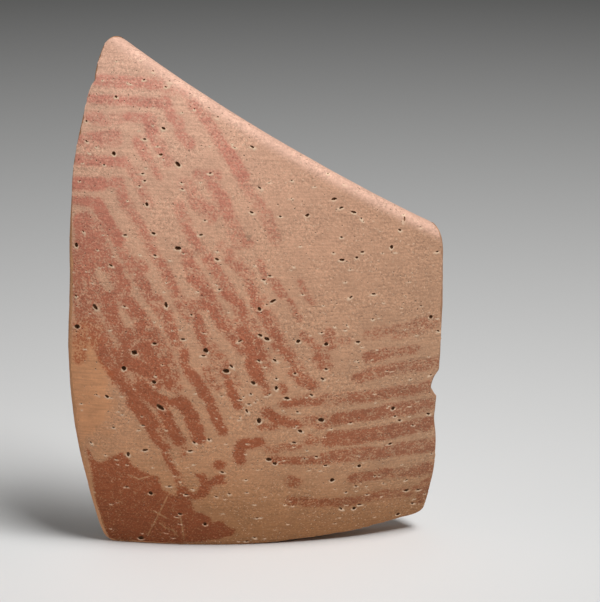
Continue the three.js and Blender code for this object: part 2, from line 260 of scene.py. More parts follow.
def fromEdge(places):
    # how far places on the skin are from the broken edge, and which of its points is nearest
    flat = folded(places)
    found = [nearestEdge.find(point) for point in skinPoint(flat[:, 0], flat[:, 1], 0).tolist()]
    away = np.array([f[2] for f in found]) * 1000
    inside = insideEdges(flat, sherdLoop, np.roll(sherdLoop, -1, axis=0))
    return np.where(inside, away, -away), np.array([f[1] for f in found])


# How far the slip has worn back from the breaks, and how thick it is
slipCoat = {"spacing": 0.52, "inset": 0.4, "insetVaries": 0.3, "leftInset": 0.55, "leastInset": 0.25,
            "thickest": 0.26, "thinnest": 0.02, "gap": 0.04, "fullFrom": 2.0, "sunkRim": 0.035}


def slipField(places, away):
    # how far inside the slip's border a place is
    s = slipCoat
    lowLeft = smoothStep(30, 42, places[:, 1]) * smoothStep(30, 12, places[:, 0] - 0.3 * (places[:, 1] - 60))
    inset = s["inset"] + s["leftInset"] * lowLeft + s["insetVaries"] * (
        roughly(places, 7, 2) + 0.6 * roughly(places, 1.3, 3))
    overLip = places[:, 1] - innerShoulder + 0.8 * roughly(places, 5, 4) + 0.3
    return np.minimum(away - np.maximum(inset, s["leastInset"]), overLip)


def slipThickness(field):
    s = slipCoat
    return s["thinnest"] + (s["thickest"] - s["thinnest"]) * smoothStep(0.3, s["fullFrom"], field)


def claySunk(field):
    # the clay's skin dips under the slip that lies on it
    s = slipCoat
    under = slipThickness(field) + s["gap"]
    bare = (s["thinnest"] + s["gap"]) * smoothStep(-1.2, 0, field)
    return np.where(field > 0, under, bare)


def hexGrid(low, high, spacing):
    rows = np.arange(low[1], high[1] + spacing, spacing * math.sqrt(0.75))
    columns = np.arange(low[0], high[0] + spacing, spacing)
    x, y = np.meshgrid(columns, rows)
    x = x + spacing / 2 * (np.arange(len(rows)) % 2)[:, None]
    count = len(columns)
    a = (np.arange(len(rows) - 1)[:, None] * count + np.arange(count - 1)).ravel()
    odd = (a // count) % 2 == 1
    b, c, d = a + 1, a + count, a + count + 1
    faces = [np.stack([a, b, np.where(odd, d, c)], axis=1), np.stack([np.where(odd, a, b), d, c], axis=1)]
    return np.stack([x.ravel(), y.ravel()], axis=1), np.concatenate(faces)


def cutToField(places, faces, field):
    # the part of a flat net where the field is above 0, with new points where its border crosses a side
    inside = field > 0
    count = inside[faces].sum(axis=1)

    def startingAt(rows, marked):
        first = np.argmax(marked[rows], axis=1)[:, None]
        return np.take_along_axis(rows, (first + np.arange(3)) % 3, axis=1)

    one, two = startingAt(faces[count == 1], inside), startingAt(faces[count == 2], ~inside)
    sides = np.sort(np.concatenate([one[:, [0, 1]], one[:, [0, 2]], two[:, [0, 1]], two[:, [0, 2]]]), axis=1)
    sides, which = np.unique(sides, axis=0, return_inverse=True)
    a, b = sides.T
    share = np.clip(field[a] / (field[a] - field[b]), 0.12, 0.88)[:, None]
    which = which.reshape(-1) + len(places)
    p1, q1, p2, q2 = np.split(which, np.cumsum([len(one), len(one), len(two)]))
    made = np.concatenate([
        faces[count == 3], np.c_[one[:, 0], p1, q1], np.c_[p2, two[:, 1:]], np.c_[p2, two[:, 2], q2]])
    everywhere = np.concatenate([places, places[a] + share * (places[b] - places[a])])
    return usedOnly(everywhere, made)


def usedOnly(places, faces):
    used, faces = np.unique(faces, return_inverse=True)
    return places[used], faces.reshape(-1, 3)


def withoutCrumbs(places, faces, least):
    # drops islands of fewer faces than least
    label = np.arange(len(places))
    while True:
        lower = label.copy()
        np.minimum.at(lower, faces.ravel(), np.repeat(label[faces].min(axis=1), 3))
        lower = lower[lower]
        if (lower == label).all():
            break
        label = lower
    own = label[faces[:, 0]]
    return usedOnly(places, faces[np.bincount(own, minlength=len(places))[own] >= least])


def borderSides(faces, count):
    sides = np.concatenate([faces[:, [0, 1]], faces[:, [1, 2]], faces[:, [2, 0]]])
    return sides[~np.isin(sides[:, 0] * count + sides[:, 1], sides[:, 1] * count + sides[:, 0])]


def closedShell(top, bottom, faces):
    # two skins over the same net and a strip round each border, facing outwards
    count = len(top)
    a, b = borderSides(faces, count).T
    strips = np.concatenate([np.c_[b, a, a + count], np.c_[b, a + count, b + count]])
    points = np.concatenate([top, bottom])
    return points, facingOut(points, np.concatenate([faces, faces[:, ::-1] + count, strips]))


def facingOut(points, faces):
    p, q, r = (points[faces[:, k]] - points.mean(axis=0) for k in range(3))
    return faces if np.einsum("ij,ij->", p, np.cross(q, r)) > 0 else faces[:, ::-1]


def makePiece(name, points, faces, **values):
    mesh = bpy.data.meshes.new(name)
    mesh.from_pydata(points.tolist(), [], faces if isinstance(faces, list) else faces.tolist())
    setValues(mesh, **values)
    mesh.polygons.foreach_set("use_smooth", [True] * len(mesh.polygons))
    mesh.update()
    piece = bpy.data.objects.new(name, mesh)
    bpy.context.scene.collection.objects.link(piece)
    return piece


def setValues(mesh, **values):
    for key, value in values.items():
        kind, field = ("FLOAT_VECTOR", "vector") if value.ndim == 2 else ("FLOAT", "value")
        kept = mesh.attributes.get(key) or mesh.attributes.new(key, kind, "POINT")
        kept.data.foreach_set(field, value.astype(np.float32).ravel())


def pointsOf(mesh):
    points = np.empty(3 * len(mesh.vertices), np.float32)
    mesh.vertices.foreach_get("co", points)
    return points.reshape(-1, 3).astype(float)


def finished(piece, slot, *nodes):
    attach(piece, "root")
    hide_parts(*nodes)


# Node trees, written as sums
class Nodes:
    def __init__(self, tree):
        self.tree = tree

    def node(self, kind, settings=None, sockets=None, result=0):
        node = self.tree.nodes.new(kind)
        for key, value in (settings or {}).items():
            setattr(node, key, value)
        for key, value in (sockets or {}).items():
            if isinstance(value, Value):
                self.tree.links.new(value.socket, node.inputs[key])
            else:
                node.inputs[key].default_value = value
        return Value(self, node.outputs[result])

    def between(self, low, high, value):
        # 0 at low, 1 at high, smooth in between
        sockets = {"Value": value, "From Min": low, "From Max": high}
        return self.node("ShaderNodeMapRange", {"interpolation_type": "SMOOTHSTEP"}, sockets)

    def clamp(self, value):
        return self.node("ShaderNodeClamp", None, {"Value": value})

    def part(self, axis, place):
        return self.node("ShaderNodeSeparateXYZ", None, {0: place}, axis)

    def inFrame(self, axis):
        # a coordinate of the point itself, in metres
        return self.part(axis, self.node("ShaderNodeTexCoord", None, None, "Object"))

    def vector(self, operation, first, second):
        sockets = {0: first, 3 if operation == "SCALE" else 1: second}
        return self.node("ShaderNodeVectorMath", {"operation": operation}, sockets)

    def noise(self, place, size, detail=2.0, stretch=None, distortion=0.0):
        # size is in millimetres, or a scale from a socket
        if stretch:
            place = self.vector("MULTIPLY", place, stretch)
        scale = size if isinstance(size, Value) else 1000 / size
        sockets = {"Vector": place, "Scale": scale, "Detail": detail, "Distortion": distortion}
        return self.node("ShaderNodeTexNoise", None, sockets)

    def apart(self, place, start, end=None):
        # how far, in millimetres, a place on the wall is from a point or a line drawn on it
        offset = self.vector("SUBTRACT", place, (start[0] / 1000, start[1] / 1000, 0))
        if end:
            run = Vector((end[0] - start[0], end[1] - start[1], 0)) / 1000
            dot = {"operation": "DOT_PRODUCT"}
            along = self.node("ShaderNodeVectorMath", dot, {0: offset, 1: run}, "Value")
            share = self.clamp(along * (1 / run.length_squared))
            offset = self.vector("SUBTRACT", offset, self.vector("SCALE", run, share))
        return self.node("ShaderNodeVectorMath", {"operation": "LENGTH"}, {0: offset}, "Value") * 1000

    def mix(self, share, first, second, blend="MIX"):
        sockets = {0: share, 6: first, 7: second}
        return self.node("ShaderNodeMix", {"data_type": "RGBA", "blend_type": blend}, sockets, 2)


class Value:
    # a socket that takes Python's own sums
    def __init__(self, nodes, socket):
        self.nodes, self.socket = nodes, socket

    def sum(self, operation, first, second):
        return self.nodes.node("ShaderNodeMath", {"operation": operation}, {0: first, 1: second})

    def __add__(self, other):
        return self.sum("ADD", self, other)

    def __sub__(self, other):
        return self.sum("SUBTRACT", self, other)

    def __rsub__(self, other):
        return self.sum("SUBTRACT", other, self)

    def __mul__(self, other):
        return self.sum("MULTIPLY", self, other)

    def __rtruediv__(self, other):
        return self.sum("DIVIDE", other, self)

    def __gt__(self, other):
        return self.sum("GREATER_THAN", self, other)

    __radd__, __rmul__ = __add__, __mul__


# The uneven surface, in millimetres: swells left by the hand, wiped lines, grit, and torn breaks
relief = {"swellHeight": 0.14, "swellSize": 15.0, "wipingHeight": 0.02, "wipingSize": 1.7,
          "gritHeight": 0.02, "gritSize": 1.1, "tearHeight": 0.42, "tearSize": 2.4}


class ShapeTree:
    # a Geometry Nodes tree with a named input for each size
    def __init__(self, name, **inputs):
        self.tree = bpy.data.node_groups.new(name, "GeometryNodeTree")
        face = self.tree.interface
        face.new_socket("Geometry", in_out="INPUT", socket_type="NodeSocketGeometry")
        self.sockets = {}
        for key, kind in {**{key: "Float" for key in relief}, **inputs}.items():
            socket = face.new_socket(key, in_out="INPUT", socket_type="NodeSocket" + kind)
            self.sockets[key] = socket.identifier
        face.new_socket("Geometry", in_out="OUTPUT", socket_type="NodeSocketGeometry")
        self.n = Nodes(self.tree)
        start = self.tree.nodes.new("NodeGroupInput")
        self.given = {s.name: Value(self.n, s) for s in start.outputs if s.name}

    def attribute(self, key, kind="FLOAT_VECTOR"):
        return self.n.node("GeometryNodeInputNamedAttribute", {"data_type": kind}, {"Name": key})

    def end(self, shape):
        self.tree.links.new(shape.socket, self.tree.nodes.new("NodeGroupOutput").inputs["Geometry"])
        return self

    def settle(self, piece, **values):
        # runs the tree on a piece and keeps the result as its plain mesh
        step = piece.modifiers.new(self.tree.name, "NODES")
        step.node_group = self.tree
        for key, value in {**relief, **values}.items():
            step[self.sockets[key]] = value
        piece.update_tag()
        evaluated = piece.evaluated_get(bpy.context.evaluated_depsgraph_get())
        result = bpy.data.meshes.new_from_object(evaluated)
        piece.modifiers.clear()
        old, piece.data = piece.data, result
        bpy.data.meshes.remove(old)
        result.name = piece.name

    def lifted(self, shape):
        # the relief, along each point's own way out
        n, given = self.n, self.given
        skin, wall = self.attribute("skinPlace"), self.attribute("wallPlace")

        def wave(place, kind, detail, stretch=None):
            size = 1000 / given[kind + "Size"]
            return (n.noise(place, size, detail, stretch) - 0.5) * given[kind + "Height"] * 0.002

        lift = wave(skin, "swell", 1.0) + wave(wall, "wiping", 2.0, (0.1, 1, 1)) + wave(skin, "grit", 2.0)
        lift = lift + wave(skin, "tear", 4.0) * self.attribute("tornShare", "FLOAT")
        offset = n.vector("SCALE", self.attribute("outward"), lift)
        return n.node("GeometryNodeSetPosition", None, {"Geometry": shape, "Offset": offset})


def wallTree():
    # relief, then voids cut through it, and edges left sharp where they are steep
    made = ShapeTree("pittedWall", voids="Object", finish="Material")
    n = made.n
    cutter = n.node("GeometryNodeObjectInfo", None, {"Object": made.given["voids"]}, "Geometry")
    shape = n.node("GeometryNodeMeshBoolean", {"operation": "DIFFERENCE", "solver": "MANIFOLD"},
                   {"Mesh 1": made.lifted(made.given["Geometry"]), "Mesh 2": cutter})
    steep = n.node("GeometryNodeInputMeshEdgeAngle") > math.radians(40)
    shape = n.node("GeometryNodeSetShadeSmooth", {"domain": "EDGE"},
                   {"Geometry": shape, "Selection": steep, "Shade Smooth": False})
    shape = n.node("GeometryNodeRealizeInstances", None, {"Geometry": shape})
    voidFace = made.attribute("voidFace", "BOOLEAN")
    wallFace = n.node("FunctionNodeBooleanMath", {"operation": "NOT"}, {0: voidFace})
    shape = n.node("GeometryNodeSetMaterial", None,
                   {"Geometry": shape, "Selection": wallFace, "Material": made.given["finish"]})
    return made.end(shape)


# Pits where chaff burnt out and grit fell out. Big ones have their places, small ones are scattered.
# Each is along, down, long, wide and how far its long way turns from along towards down.
bigVoids = [
    (-14, 13.8, 1.1, 0.7, 15), (-26.4, 19.3, 0.8, 0.7, 15), (-20.2, 9.3, 0.8, 0.5, -15),
    (-15.3, 24.2, 0.8, 0.6, 30), (-11.2, 28.6, 0.8, 0.5, -25), (-5.5, 28.5, 1.2, 0.7, -30),
    (-24, 39.8, 0.7, 0.8, -35), (-15.9, 54.9, 1.1, 0.9, -35), (-14.4, 48.9, 1.2, 0.7, 20),
    (-1.9, 40.2, 1.1, 0.6, 60), (0, 48.8, 0.8, 0.5, -35), (4.5, 44.8, 0.8, 0.4, -30),
    (-2.7, 52.9, 1.1, 0.9, -35), (9.7, 44.5, 1, 0.9, -20), (-3, 57.3, 0.9, 0.9, -35),
    (3.9, 56.5, 0.8, 0.7, -10), (-3.2, 65.1, 0.8, 0.5, 0), (7.8, 60.9, 1.7, 0.8, 10),
    (15.5, 46.3, 1.2, 0.9, -15), (21.6, 45.9, 1, 0.6, 5), (23.8, 52.2, 0.9, 0.4, 35),
    (27.2, 53, 1.2, 0.8, 60), (16.1, 28.2, 1.2, 0.5, -60), (14.6, 31, 0.8, 0.6, 30),
    (17.5, 35.9, 0.9, 0.5, -5), (19.1, 35.9, 1, 0.7, -5), (24.8, 33.3, 0.8, 0.7, -40),
    (30.1, 31.2, 0.8, 0.7, -25), (26.3, 44.6, 0.9, 0.6, 60), (29.4, 45.6, 1, 0.6, -15),
    (38.5, 46.8, 1.1, 0.9, -15), (36.1, 51.1, 0.9, 0.6, 5), (34.2, 60.3, 1, 0.8, -15),
    (35.9, 60.6, 0.8, 0.6, 5), (7.3, 74.9, 1, 0.6, 65), (10, 71.9, 1, 0.5, -45),
    (16.7, 81.1, 0.8, 0.8, -25), (32.1, 82.2, 0.7, 0.9, -35), (25.5, 82.6, 0.8, 0.6, -20),
    (21.6, 93.7, 1.1, 0.9, -40), (16.4, 3.8, 1, 0.5, -40), (18.5, 4.7, 0.8, 0.4, -50),
    (13.3, 9.3, 0.8, 0.5, -50), (21.2, 4.3, 1, 0.4, -10), (31.2, 1.1, 0.8, 0.3, -110),
    (31.6, 7.1, 0.8, 0.6, 60), (23.9, 14, 0.9, 0.5, -25), (35.7, 27.9, 0.8, 0.5, -25),
    (49.7, 58.9, 0.8, 0.9, -25), (59.7, 63.7, 0.7, 0.8, -20), (68, 55.3, 1, 0.6, -15),
    (71.6, 61.9, 0.8, 0.7, -15), (46.8, 16.8, 0.7, 0.7, -20), (52.9, 53.4, 0.7, 0.7, -20),
    (50.9, 38.1, 0.7, 0.8, -20),
]
voids = {"seed": 11, "outerSmall": 300, "innerSmall": 260, "tornSmall": 90, "least": 0.18, "most": 0.62,
         "longest": 2.2, "apart": 0.12, "sunk": 0.12, "swell": 1.18, "deep": 0.6,
         "noiseSize": 0.5, "noiseHeight": 0.17, "bigFineness": 3, "smallFineness": 1}


def scatterVoids():
    # rows of along, across, long, wide and turn: the big ones, then small ones clear of each other
    swell = voids["swell"]
    rows = [(along, down, long * swell, wide * swell, math.radians(turn))
            for along, down, long, wide, turn in bigVoids]
    shuffled = random.Random(voids["seed"])
    low, high = sherdLoop.min(axis=0), sherdLoop.max(axis=0)
    for wanted, outer in ((voids["outerSmall"], True), (voids["innerSmall"], False)):
        tried = np.array([[shuffled.uniform(low[0], high[0]), shuffled.uniform(low[1], high[1])]
                          for _ in range(4 * wanted)])
        away = fromEdge(tried)[0]
        made = 0
        for (along, down), clear in zip(tried.tolist(), away.tolist()):
            size = voids["least"] + (voids["most"] - voids["least"]) * shuffled.random() ** 2.2
            long = size * shuffled.uniform(1.1, voids["longest"])
            turn = math.radians(shuffled.gauss(-18, 22))
            across = down if outer else 2 * crest - down
            near = [r for r in rows if abs(r[0] - along) < 3 and abs(r[1] - across) < 3]
            free = all(math.hypot(r[0] - along, r[1] - across) > (r[2] + long) / 2 + voids["apart"]
                       for r in near)
            if made < wanted and clear > 0.4 + long / 2 and free:
                rows.append((along, across, long, size, turn))
                made += 1
    return np.array(rows)


voidRows = scatterVoids()
print("voids", len(voidRows))


def clearOfVoids(places, margin):
    # how far places on the skin are from the nearest void's rim
    clear = np.full(len(places), 9.0)
    low, high = places.min(axis=0) - 2, places.max(axis=0) + 2
    near = voidRows[((voidRows[:, :2] > low) & (voidRows[:, :2] < high)).all(axis=1)]
    share = ringShare(places[:, 1])
    for along, down, long, wide, turn in near:
        x, y = (places[:, 0] - along) * share, places[:, 1] - down
        u, v = x * math.cos(turn) + y * math.sin(turn), y * math.cos(turn) - x * math.sin(turn)
        clear = np.minimum(clear, (np.hypot(u / long, v / wide) * 2 - 1) * min(long, wide) / 2 - margin)
    return clear


def voidPlaces():
    # where each void sits, which way it faces and lies, and its three sizes
    along, across, long, wide, turn = voidRows.T
    skin, normal = skinPoint(along, across, 0), skinNormal(along, across)
    roundTheWall = unitRows(skinPoint(along + 0.1, across, 0) - skinPoint(along - 0.1, across, 0))
    downTheWall = unitRows(skinPoint(along, across + 0.1, 0) - skinPoint(along, across - 0.1, 0))
    tangent = roundTheWall * np.cos(turn)[:, None] + downTheWall * np.sin(turn)[:, None]
    size = np.stack([long, wide, 2 * voids["deep"] * wide], axis=1) / 2000
    wall = np.stack([along, across, 0 * along], axis=1) / 1000

    # the same for the torn faces
    shuffled = random.Random(voids["seed"] + 1)
    for _ in range(voids["tornSmall"]):
        k = shuffled.randrange(20, len(edge) - 20)
        share, width = shuffled.uniform(0.2, 0.8), shuffled.uniform(0.3, 0.9)
        place = edgePoints[k] + edgeThrough[k] * share
        place = place - inwards[k] * breaks["undercut"] * edgeChord[k] * share * facesDown[k] / 1000
        skin, normal = np.vstack([skin, place]), np.vstack([normal, -inwards[k]])
        tangent = np.vstack([tangent, edgeRun[k] / np.linalg.norm(edgeRun[k])])
        size = np.vstack([size, np.array([width * 1.5, width, width]) / 2000])
        wall = np.vstack([wall, bowlPlace(place) / 1000])
    count = np.arange(len(skin))
    return skin - normal * (size[:, 2] * 2 * voids["sunk"])[:, None], {
        "skinPlace": skin, "wallPlace": wall, "outward": normal, "tangent": tangent, "lumpSize": size,
        "tornShare": (count >= len(voidRows)).astype(float), "big": (count < len(bigVoids)).astype(float)}


def voidCutters(finish):
    # one closed lump for each void, set into the skin
    points, values = voidPlaces()
    piece = makePiece("voidCutters", points, [], **values)
    made = ShapeTree("voidLumps", noiseSize="Float", noiseHeight="Float", finish="Material")
    n = made.n
    places = made.lifted(made.given["Geometry"])
    turned = n.node("FunctionNodeAxesToRotation", {"primary_axis": "Z", "secondary_axis": "X"},
                    {0: made.attribute("outward"), 1: made.attribute("tangent")})
    join = made.tree.nodes.new("GeometryNodeJoinGeometry")
    isBig = made.attribute("big", "FLOAT")
    for picked, fineness in ((isBig, voids["bigFineness"]), (1 - isBig, voids["smallFineness"])):
        lump = n.node("GeometryNodeMeshIcoSphere", None, {"Radius": 1.0, "Subdivisions": fineness})
        lumps = n.node("GeometryNodeInstanceOnPoints", None, {
            "Points": places, "Selection": picked, "Instance": lump, "Rotation": turned,
            "Scale": made.attribute("lumpSize")})
        made.tree.links.new(lumps.socket, join.inputs[0])
    shape = n.node("GeometryNodeRealizeInstances", None, {"Geometry": Value(n, join.outputs[0])})
    place = n.node("GeometryNodeInputPosition")
    scale = 1000 / made.given["noiseSize"]
    uneven = n.node("ShaderNodeTexNoise", None, {"Vector": place, "Scale": scale}, "Color")
    uneven = n.vector("SUBTRACT", uneven, (0.5, 0.5, 0.5))
    uneven = n.vector("SCALE", uneven, made.given["noiseHeight"] * 0.002)
    shape = n.node("GeometryNodeSetPosition", None, {"Geometry": shape, "Offset": uneven})
    shape = n.node("GeometryNodeStoreNamedAttribute", {"data_type": "BOOLEAN", "domain": "FACE"},
                   {"Geometry": shape, "Name": "voidFace", "Value": True})
    shape = n.node("GeometryNodeSetMaterial", None, {"Geometry": shape, "Material": made.given["finish"]})
    made.end(shape).settle(
        piece, noiseSize=voids["noiseSize"], noiseHeight=voids["noiseHeight"], finish=finish)
    print("void lumps", len(piece.data.polygons), "faces")
    return piece


# The fired clay
clay = {"spacing": 0.55, "clearOfLoop": 0.62, "undercutFades": 9.0,
        "ringShares": [0.03, 0.065, 0.105, 0.15, 0.2, 0.26, 0.33, 0.41, 0.5]}


def fillLoop(loop, spacing):
    loop = loop.astype(np.float32).astype(float)
    around = np.roll(loop, -1, axis=0)
    grid = hexGrid(loop.min(axis=0), loop.max(axis=0), spacing)[0]
    grid = grid[insideEdges(grid, loop, around)]
    near = treeOf(np.c_[loop, np.zeros(len(loop))])
    grid = grid[[near.find((x, y, 0))[2] > clay["clearOfLoop"] * spacing for x, y in grid]]
    places = np.concatenate([loop, grid.astype(np.float32)])
    made = delaunay_2d_cdt([Vector(p) for p in places.tolist()], [], [list(range(len(loop)))], 1, 1e-6, True)
    own = [source[0] for source in made[3]]
    faces = np.array([[own[k] for k in face] for face in made[2]])
    onLoopOnly = (places[faces][..., 1] < crest + 1e-4).all(axis=1)  # slivers along the crest
    return places, faces[insideEdges(places[faces].mean(axis=1), loop, around) & ~onLoopOnly]


def wornFace(places, away, nearest):
    # points of the inner or outer face, rounded off towards the break, and their ways out
    normals = skinNormal(places[:, 0], places[:, 1])
    points = skinPoint(places[:, 0], places[:, 1], claySunk(slipField(places, away)))
    radius = wear[nearest]
    turned = math.pi / 4 * (1 + np.clip(away / radius, 0, 1))
    inwardShift = np.where(away < radius, radius * (1 - np.cos(turned)) - away, 0)
    drop = radius * (1 - np.sin(turned))
    inner = places[:, 1] < crest
    outRun = inner * breaks["undercut"] * edgeChord[nearest] * facesDown[nearest] * (
        1 - smoothStep(0, clay["undercutFades"], away))
    points = points + inwards[nearest] * ((inwardShift - outRun) / 1000)[:, None]
    points = points - normals * (drop / 1000)[:, None]
    return points, normals * np.sin(turned)[:, None] - inwards[nearest] * np.cos(turned)[:, None]


def tornSides(shares):
    # rings of points across the break, from the outer face to the inner one, with their ways out
    k = np.arange(1, len(edge) - 1)
    share = shares[:, None] * np.ones(len(k))
    depth, rest = share * edgeChord[k], (1 - share) * edgeChord[k]
    radius, near = wear[k], np.minimum(depth, rest)
    turned = math.pi / 4 * (1 - np.clip(near / radius, 0, 1))
    rounded = np.where(near < radius, radius * (1 - np.sin(turned)), near)
    inwardShift = np.where(near < radius, radius * (1 - np.cos(turned)), 0)
    place = np.where(depth < rest, rounded, edgeChord[k] - rounded)
    outRun = breaks["undercut"] * depth * facesDown[k]
    through = edgeThrough[k] / edgeChord[k][:, None]
    points = edgePoints[k] + through * place[..., None]
    points = points + inwards[k] * ((inwardShift - outRun) / 1000)[..., None]
    facing = np.where(depth < rest, 1, -1) * np.sin(turned)
    way = -inwards[k] * np.cos(turned)[..., None] - unitRows(edgeThrough[k]) * facing[..., None]
    return points.reshape(-1, 3), way.reshape(-1, 3), smoothStep(0.5, 2.2, near).ravel()


def clayBody(finish, cutters):
    outer, faces = fillLoop(sherdLoop, clay["spacing"])
    count, last = len(outer), len(edge) - 1
    onCrest = np.zeros(count, bool)
    onCrest[last:len(sherdLoop)] = onCrest[0] = True
    innerIndex = np.where(onCrest, np.arange(count), count + np.cumsum(~onCrest) - 1)
    inner = outer[~onCrest] * [1, -1] + [0, 2 * crest]
    away, nearest = fromEdge(outer)
    away[:last + 1], nearest[:last + 1] = 0, np.arange(last + 1)
    away = np.maximum(away, 0)
    outerPoints, outerWay = wornFace(outer, away, nearest)
    innerPoints, innerWay = wornFace(inner, away[~onCrest], nearest[~onCrest])
    shares = np.array(clay["ringShares"] + [1 - s for s in clay["ringShares"][-2::-1]])
    sides, sideWay, torn = tornSides(shares)

    rings = count + len(inner) + np.arange(len(sides)).reshape(len(shares), -1)
    columns = np.vstack([np.arange(1, last), rings, innerIndex[1:last]])
    columns = np.hstack([np.zeros((len(columns), 1), int), columns, np.full((len(columns), 1), last)])
    a, b, c, d = columns[:-1, :-1], columns[:-1, 1:], columns[1:, 1:], columns[1:, :-1]
    strips = [np.stack(corners, axis=-1).reshape(-1, 3) for corners in ([a, c, b], [a, d, c])]
    strips = np.concatenate(strips)
    strips = strips[(strips != np.roll(strips, 1, axis=1)).all(axis=1)]
    firstFace = faces[(faces == 0).any(axis=1) & (faces == 1).any(axis=1)][0].tolist()
    if firstFace[(firstFace.index(0) + 1) % 3] != 1:
        strips = strips[:, ::-1]
    faces = np.concatenate([faces, innerIndex[faces][:, ::-1], strips])
    points = np.concatenate([outerPoints, innerPoints, sides])

    flat = np.concatenate([outer, inner])
    skin = np.concatenate([skinPoint(flat[:, 0], flat[:, 1], 0), sides])
    wall = np.concatenate([np.c_[flat, np.zeros(len(flat))], bowlPlace(sides)]) / 1000
    piece = makePiece("clay", points, facingOut(points, faces), skinPlace=skin, wallPlace=wall,
                      outward=unitRows(np.concatenate([outerWay, innerWay, sideWay])),
                      tornShare=np.r_[np.zeros(len(flat)), torn])
    wallTree().settle(piece, voids=cutters, finish=finish)
    placeAttributes(piece.data)
    standFlat(piece.data)
    print("clay", len(piece.data.polygons), "faces")
    return piece


def standFlat(mesh):
    # nothing reaches below the floor
    points = pointsOf(mesh)
    points[:, 2] = np.maximum(points[:, 2], 0)
    mesh.vertices.foreach_set("co", points.astype(np.float32).ravel())
    mesh.update()


def placeAttributes(mesh):
    # where each point is on the wall, and how far inside the broken edge, for the finishes
    place = bowlPlace(pointsOf(mesh))
    line = bowlPlace(edgePoints)[:, :2]
    near = treeOf(np.c_[line, np.zeros(len(line))])
    away = np.array([near.find((x, y, 0))[2] for x, y, _ in place.tolist()])
    loop = np.concatenate([line, [(line[-1, 0], -9), (line[0, 0], -9)]])
    inside = insideEdges(place[:, :2], loop, np.roll(loop, -1, axis=0))
    setValues(mesh, wallPlace=place / 1000, edgeAway=np.where(inside, away, -away))


def buffSlip(finish, cutters):
    # over the outer face and the lip
    s = slipCoat
    low, high = sherdLoop.min(axis=0) - 1, sherdLoop.max(axis=0) + 1
    places, faces = hexGrid((low[0], innerShoulder - 1.5), high, s["spacing"])
    places, faces = cutToField(places, faces, slipField(places, fromEdge(places)[0]))
    places, faces = withoutCrumbs(places, faces, 60)
    field = slipField(places, fromEdge(places)[0])
    along, across = places.T
    rim = s["sunkRim"] * (1 - smoothStep(0, 0.7, field))
    top = skinPoint(along, across, rim)
    bottom = skinPoint(along, across, np.maximum(slipThickness(field), rim + 0.012))
    points, shell = closedShell(top, bottom, faces)
    along, across = np.tile(along, 2), np.tile(across, 2)
    piece = makePiece("slip", points, shell, skinPlace=skinPoint(along, across, 0),
                      wallPlace=np.stack([along, across, 0 * along], axis=1) / 1000,
                      outward=skinNormal(along, across), tornShare=0 * along)
    wallTree().settle(piece, voids=cutters, finish=finish)
    standFlat(piece.data)
    print("slip", len(piece.data.polygons), "faces")
    return piece


